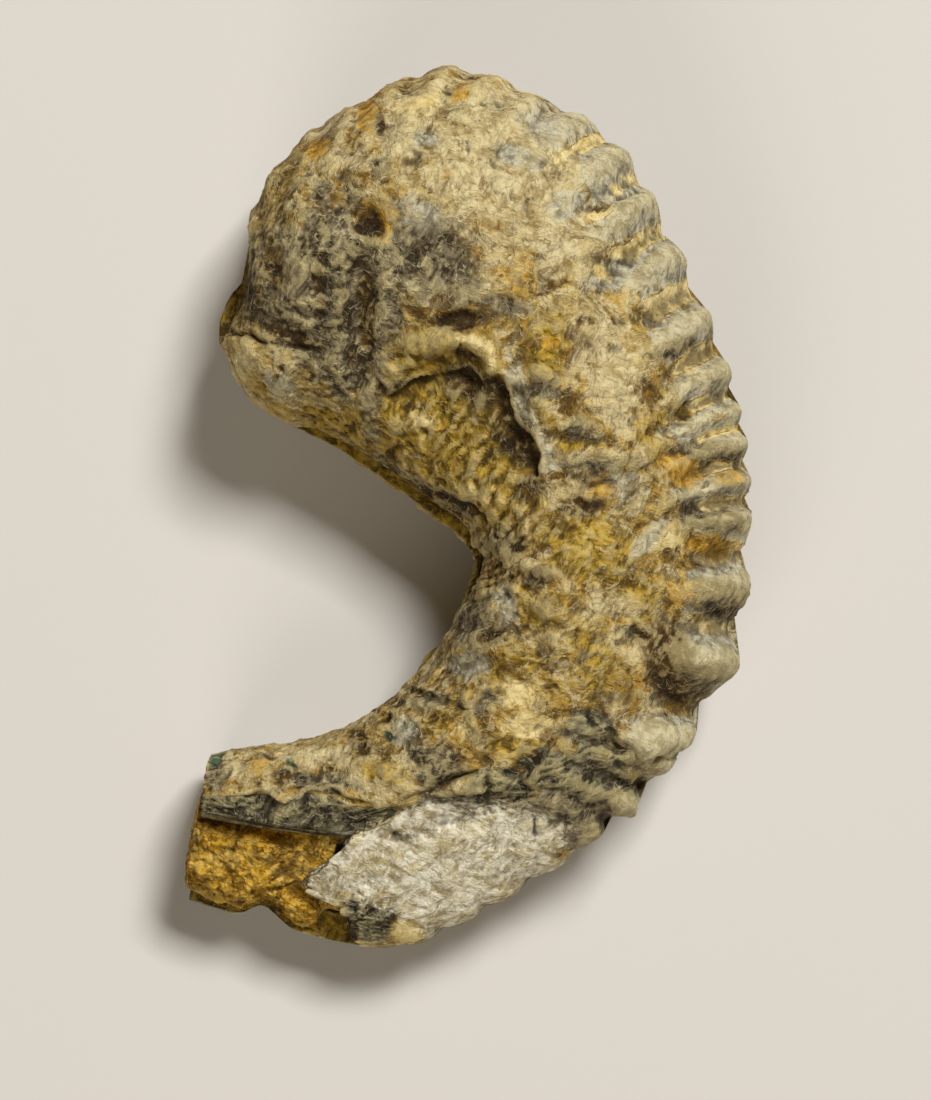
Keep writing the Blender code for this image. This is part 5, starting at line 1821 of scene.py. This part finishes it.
class Coat(NodeWriter):
    """Writes one finish as a material."""

    def __init__(self, finish: Finish, groups: GroupBench) -> None:
        """Starts an empty material.

        Args:
            finish: What to write.
            groups: The shared groups.
        """
        self.material = bpy.data.materials.new(finish.name)
        self.material.use_nodes = True
        super().__init__(self.material.node_tree)
        self.tree.nodes.clear()
        self.finish = finish
        self.groups = groups
        self.weather = self.node("Group", node_tree=groups.weather).outputs

    def sum_of(self, shares: dict[str, float]) -> Socket:
        """Adds up several of the shared patterns, each times its share."""
        total = None
        for label, share in shares.items():
            part = self.math("MULTIPLY", self.weather[label], share)
            total = self.math("ADD", total, part) if total else part
        return total

    def crust(self) -> Socket:
        """The crust's colour: from dark to light by a blend of patterns, and varied to the three tones.

        Returns:
            The colour.
        """
        blend = self.sum_of({"Broad": 0.30, "Sweep": 0.45, "Streak": 0.20, "Dab": 0.05})
        ends = linear(*self.finish.dark), linear(*self.finish.light)
        colour = self.mix(self.ramp(blend, 0.42, 0.58), *ends)
        for label, tone in zip(("Gold", "Grey", "Cream"), self.finish.tones):
            level = self.sum_of({label: 0.80, "Sweep": 0.15, "Hue": 0.05})
            share = self.math("MULTIPLY", self.ramp(level, 0.50, 0.59), self.finish.tone_share)
            colour = self.mix(share, colour, linear(*tone))
        return colour

    def stained(self, colour: Socket) -> tuple[Socket, Socket]:
        """Lays the stains on a colour.

        Args:
            colour: The colour under them.

        Returns:
            The colour, and how far the stains quiet the strokes, crumbs and bump.
        """
        marbled = self.sum_of({"Sweep": 0.45, "Streak": 0.30, "Fine": 0.15, "Dab": 0.10})
        ragged = self.sum_of({"Mottle": 0.55, "Sweep": 0.25, "Fine": 0.10, "Dab": 0.10})
        rest = 0.0
        for look in self.finish.stains:
            inputs = {"Under": colour, "Light": linear(*look.light), "Dark": linear(*look.dark)}
            inputs |= {"Cover": self.attribute(look.stain.value), "Edge": ragged, "Mottle": marbled}
            inputs |= {"Ragged": look.ragged, "Soft": look.soft}
            layer = self.node("Group", inputs, node_tree=self.groups.stain).outputs
            colour = layer["Colour"]
            if look.calm:
                rest = self.math("MAXIMUM", rest, self.math("MULTIPLY", layer["Mask"], look.calm))
        return colour, rest

    def stroked(self, colour: Socket, lively: Socket, light_line: Socket, dark_line: Socket) -> Socket:
        """Draws the strokes, the crumbs, the seams between flakes, the thin light lines and the dark
        lines of painted shadow beside them on a colour.

        Args:
            colour: The colour under them.
            lively: How strongly they show, from 0 to 1.
            light_line: How far each place is from a light line.
            dark_line: How far each place is from a dark line, the painted shadow beside a light one.

        Returns:
            The colour.
        """
        look, sweep, less = self.finish, self.weather["Sweep"], self.finish.grain / 2
        crumbs = self.sum_of(
            {"Streak": 0.45 - less, "Fine": 0.40 - less, "Crumb": 0.15, "Stroke": look.grain}
        )
        for level, (low, high), share, tone in (
            (sweep, (0.45, 0.37), 0.85 * look.thread_share, look.deep),
            (sweep, (0.56, 0.64), look.thread_share, look.crest),
            (crumbs, (0.45, 0.37), 0.75 * look.crumb_share, look.deep),
            (crumbs, (0.56, 0.64), look.crumb_share, look.thread),
            (self.weather["Seam"], (0.54, 0.76), look.seam_share, look.deep),
            # the painted shadow beside each light line
            (dark_line, (0.010, 0.003), 0.6 * look.line_share, look.deep),
            (light_line, (0.014, 0.004), 0.9 * look.line_share, look.thread),
        ):
            amount = self.math("MULTIPLY", self.ramp(level, low, high), share)
            colour = self.mix(self.math("MULTIPLY", amount, lively), colour, linear(*tone))
        return colour

    def build(self) -> Material:
        """Writes all the layers of colour, the painted shade of the hollows over them and the bump.

        Returns:
            The material.
        """
        look, fine = self.finish, self.weather["Fine"]
        colour, rest = self.stained(self.crust())
        lively = self.math("SUBTRACT", 1.0, rest)
        lines = [
            self.math("ABSOLUTE", self.math("SUBTRACT", self.weather["Curl"], level))
            for level in LINE_LEVELS
        ]
        inputs = {"Under": self.stroked(colour, lively, *lines), "Hollow": linear(*look.deep)}
        inputs |= {"Crest": linear(*look.crest), "Recess": self.attribute(RECESS), "Noise": fine}
        inputs |= PAINTED_SHADE_LEVELS
        # Painted shade in the hollows, with the crests lightened, over all the colours.
        painted_shade = self.node("Group", inputs, node_tree=self.groups.painted_shade)
        shares = {"Folds": 0.35, "Sweep": 0.8, "Streak": 0.5, "Fine": 0.5, "Crumb": 0.25, "Step": 0.12}
        height = self.math("ADD", self.sum_of(shares), self.ramp(lines[0], 0.016, 0.003, (0.0, 0.14)))
        height = self.math("MULTIPLY", height, lively)
        raised = {"Height": height, "Distance": look.bump, "Strength": 1.0}
        inputs = {
            "Base Color": painted_shade.outputs["Colour"],
            "Roughness": self.ramp(fine, 0.2, 0.8, (look.roughness - 0.10, look.roughness + 0.08)),
            "Normal": self.node("Bump", raised).outputs["Normal"],
            "Specular IOR Level": GLOSS,
        }
        shader = self.node("BsdfPrincipled", inputs)
        self.node("OutputMaterial", {"Surface": shader.outputs["BSDF"]})
        return self.material


UPPER_FINISH = Finish(
    "upper_shell", (200, 167, 82), (116, 84, 22), (44, 28, 4), (224, 204, 142), SHELL_STAINS
)
# The lower valve is the upper's crust made darker: partly a duller colour of its own, partly painted
# shade for its shaded sides and the dark bay beside it.
LOWER_FINISH = Finish(
    "lower_shell", (168, 138, 78), (96, 72, 28), (40, 27, 6), (200, 182, 130), SHELL_STAINS
)
SEDIMENT_FINISH = Finish(
    "sediment", (216, 164, 40), (148, 102, 8), (62, 38, 2), (236, 190, 76),
    (StainLook(YELLOW, (210, 178, 88), (168, 132, 44), 0.8, 0.15),
     StainLook(SLATE, (134, 128, 104), (52, 50, 38), 0.8, 0.12)),
    tones=((208, 160, 44), (112, 76, 12), (216, 176, 84)), thread=(226, 190, 92), thread_share=0.25,
    crumb_share=0.75, seam_share=0.45, line_share=0.15, grain=0.35, roughness=0.93, bump=0.00050,
)  # fmt: skip


# ---- the stage ----


@dataclass
class Studio:
    """The pale floor, the soft lights and the overhead camera.

    Args:
        image_height: Height of the picture, in pixels.
        pixel: Size of a pixel at the joint's height, in millimetres.
        sensor: Width of the camera's sensor, in millimetres.
        floor_half: Half the floor's side, in metres.
    """

    image_height: int = 1100
    pixel: float = 0.1
    sensor: float = 36.0
    floor_half: float = 1.5

    def camera(self) -> None:
        """Puts the camera straight above, at EYE, with the lens that frames the picture's height."""
        lens = bpy.data.cameras.new("camera")
        lens.sensor_width = self.sensor
        half = self.image_height * self.pixel / 2
        lens.lens = lens.sensor_width / 2 / (half / EYE[2])
        lens.clip_start, lens.clip_end = 0.01, 10.0
        camera = bpy.data.objects.new("camera", lens)
        place = np.array([*EYE[:2], JOINT_HEIGHT + EYE[2]]) - ORIGIN
        camera.location = Vector((place * MM).tolist())
        bpy.context.scene.collection.objects.link(camera)
        bpy.context.scene.camera = camera

    def light(self, name: str, place: tuple, size: float, watts: float, tint: tuple) -> None:
        """Adds a square area light that faces the object's middle.

        Args:
            name: Its name.
            place: Where it is, in metres.
            size: Its side, in metres.
            watts: Its power.
            tint: Its colour.
        """
        lamp = bpy.data.lights.new(name, "AREA")
        lamp.size, lamp.energy, lamp.color = size, watts, tint
        made = bpy.data.objects.new(name, lamp)
        made.location = place
        made.rotation_mode = "QUATERNION"
        made.rotation_quaternion = (Vector((0, 0, 0.01)) - Vector(place)).to_track_quat("-Z", "Y")
        bpy.context.scene.collection.objects.link(made)

    def floor(self) -> None:
        """Lays the pale floor."""
        mesh = bpy.data.meshes.new("floor")
        half = self.floor_half
        corners = [(-half, -half, 0), (half, -half, 0), (half, half, 0), (-half, half, 0)]
        mesh.from_pydata(corners, [], [(0, 1, 2, 3)])
        material = bpy.data.materials.new("floor")
        material.use_nodes = True
        shader = material.node_tree.nodes["Principled BSDF"]
        shader.inputs["Base Color"].default_value = linear(214, 209, 200)
        shader.inputs["Roughness"].default_value = 0.9
        shader.inputs["Specular IOR Level"].default_value = 0.1
        mesh.materials.append(material)
        floor = bpy.data.objects.new("floor", mesh)
        bpy.context.scene.collection.objects.link(floor)

    def build(self) -> None:
        """Sets up the camera, lights, floor and colour handling."""
        scene = bpy.context.scene
        scene.view_settings.view_transform = "Standard"
        scene.view_settings.look = "None"
        world = bpy.data.worlds.new("studio")
        world.use_nodes = True
        world.node_tree.nodes["Background"].inputs[0].default_value = (1.0, 0.84, 0.62, 1.0)
        world.node_tree.nodes["Background"].inputs[1].default_value = 0.08
        scene.world = world
        self.camera()
        self.light("key", (0.60, 0.92, 1.72), 0.5, 42.5, (0.985, 0.985, 1.0))
        self.light("fill", (-0.45, -1.25, 1.05), 0.9, 8.0, (1.0, 0.96, 0.88))
        self.floor()


def main() -> None:
    """Builds the pieces in order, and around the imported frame."""
    logging.basicConfig(level=logging.INFO, format="%(name)s: %(message)s")
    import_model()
    Studio().build()
    groups = GroupBench()
    LowerValve().build(Coat(LOWER_FINISH, groups).build())
    SedimentFill().build(Coat(SEDIMENT_FINISH, groups).build())
    UpperValve().build(Coat(UPPER_FINISH, groups).build())


if __name__ == "__main__":
    main()
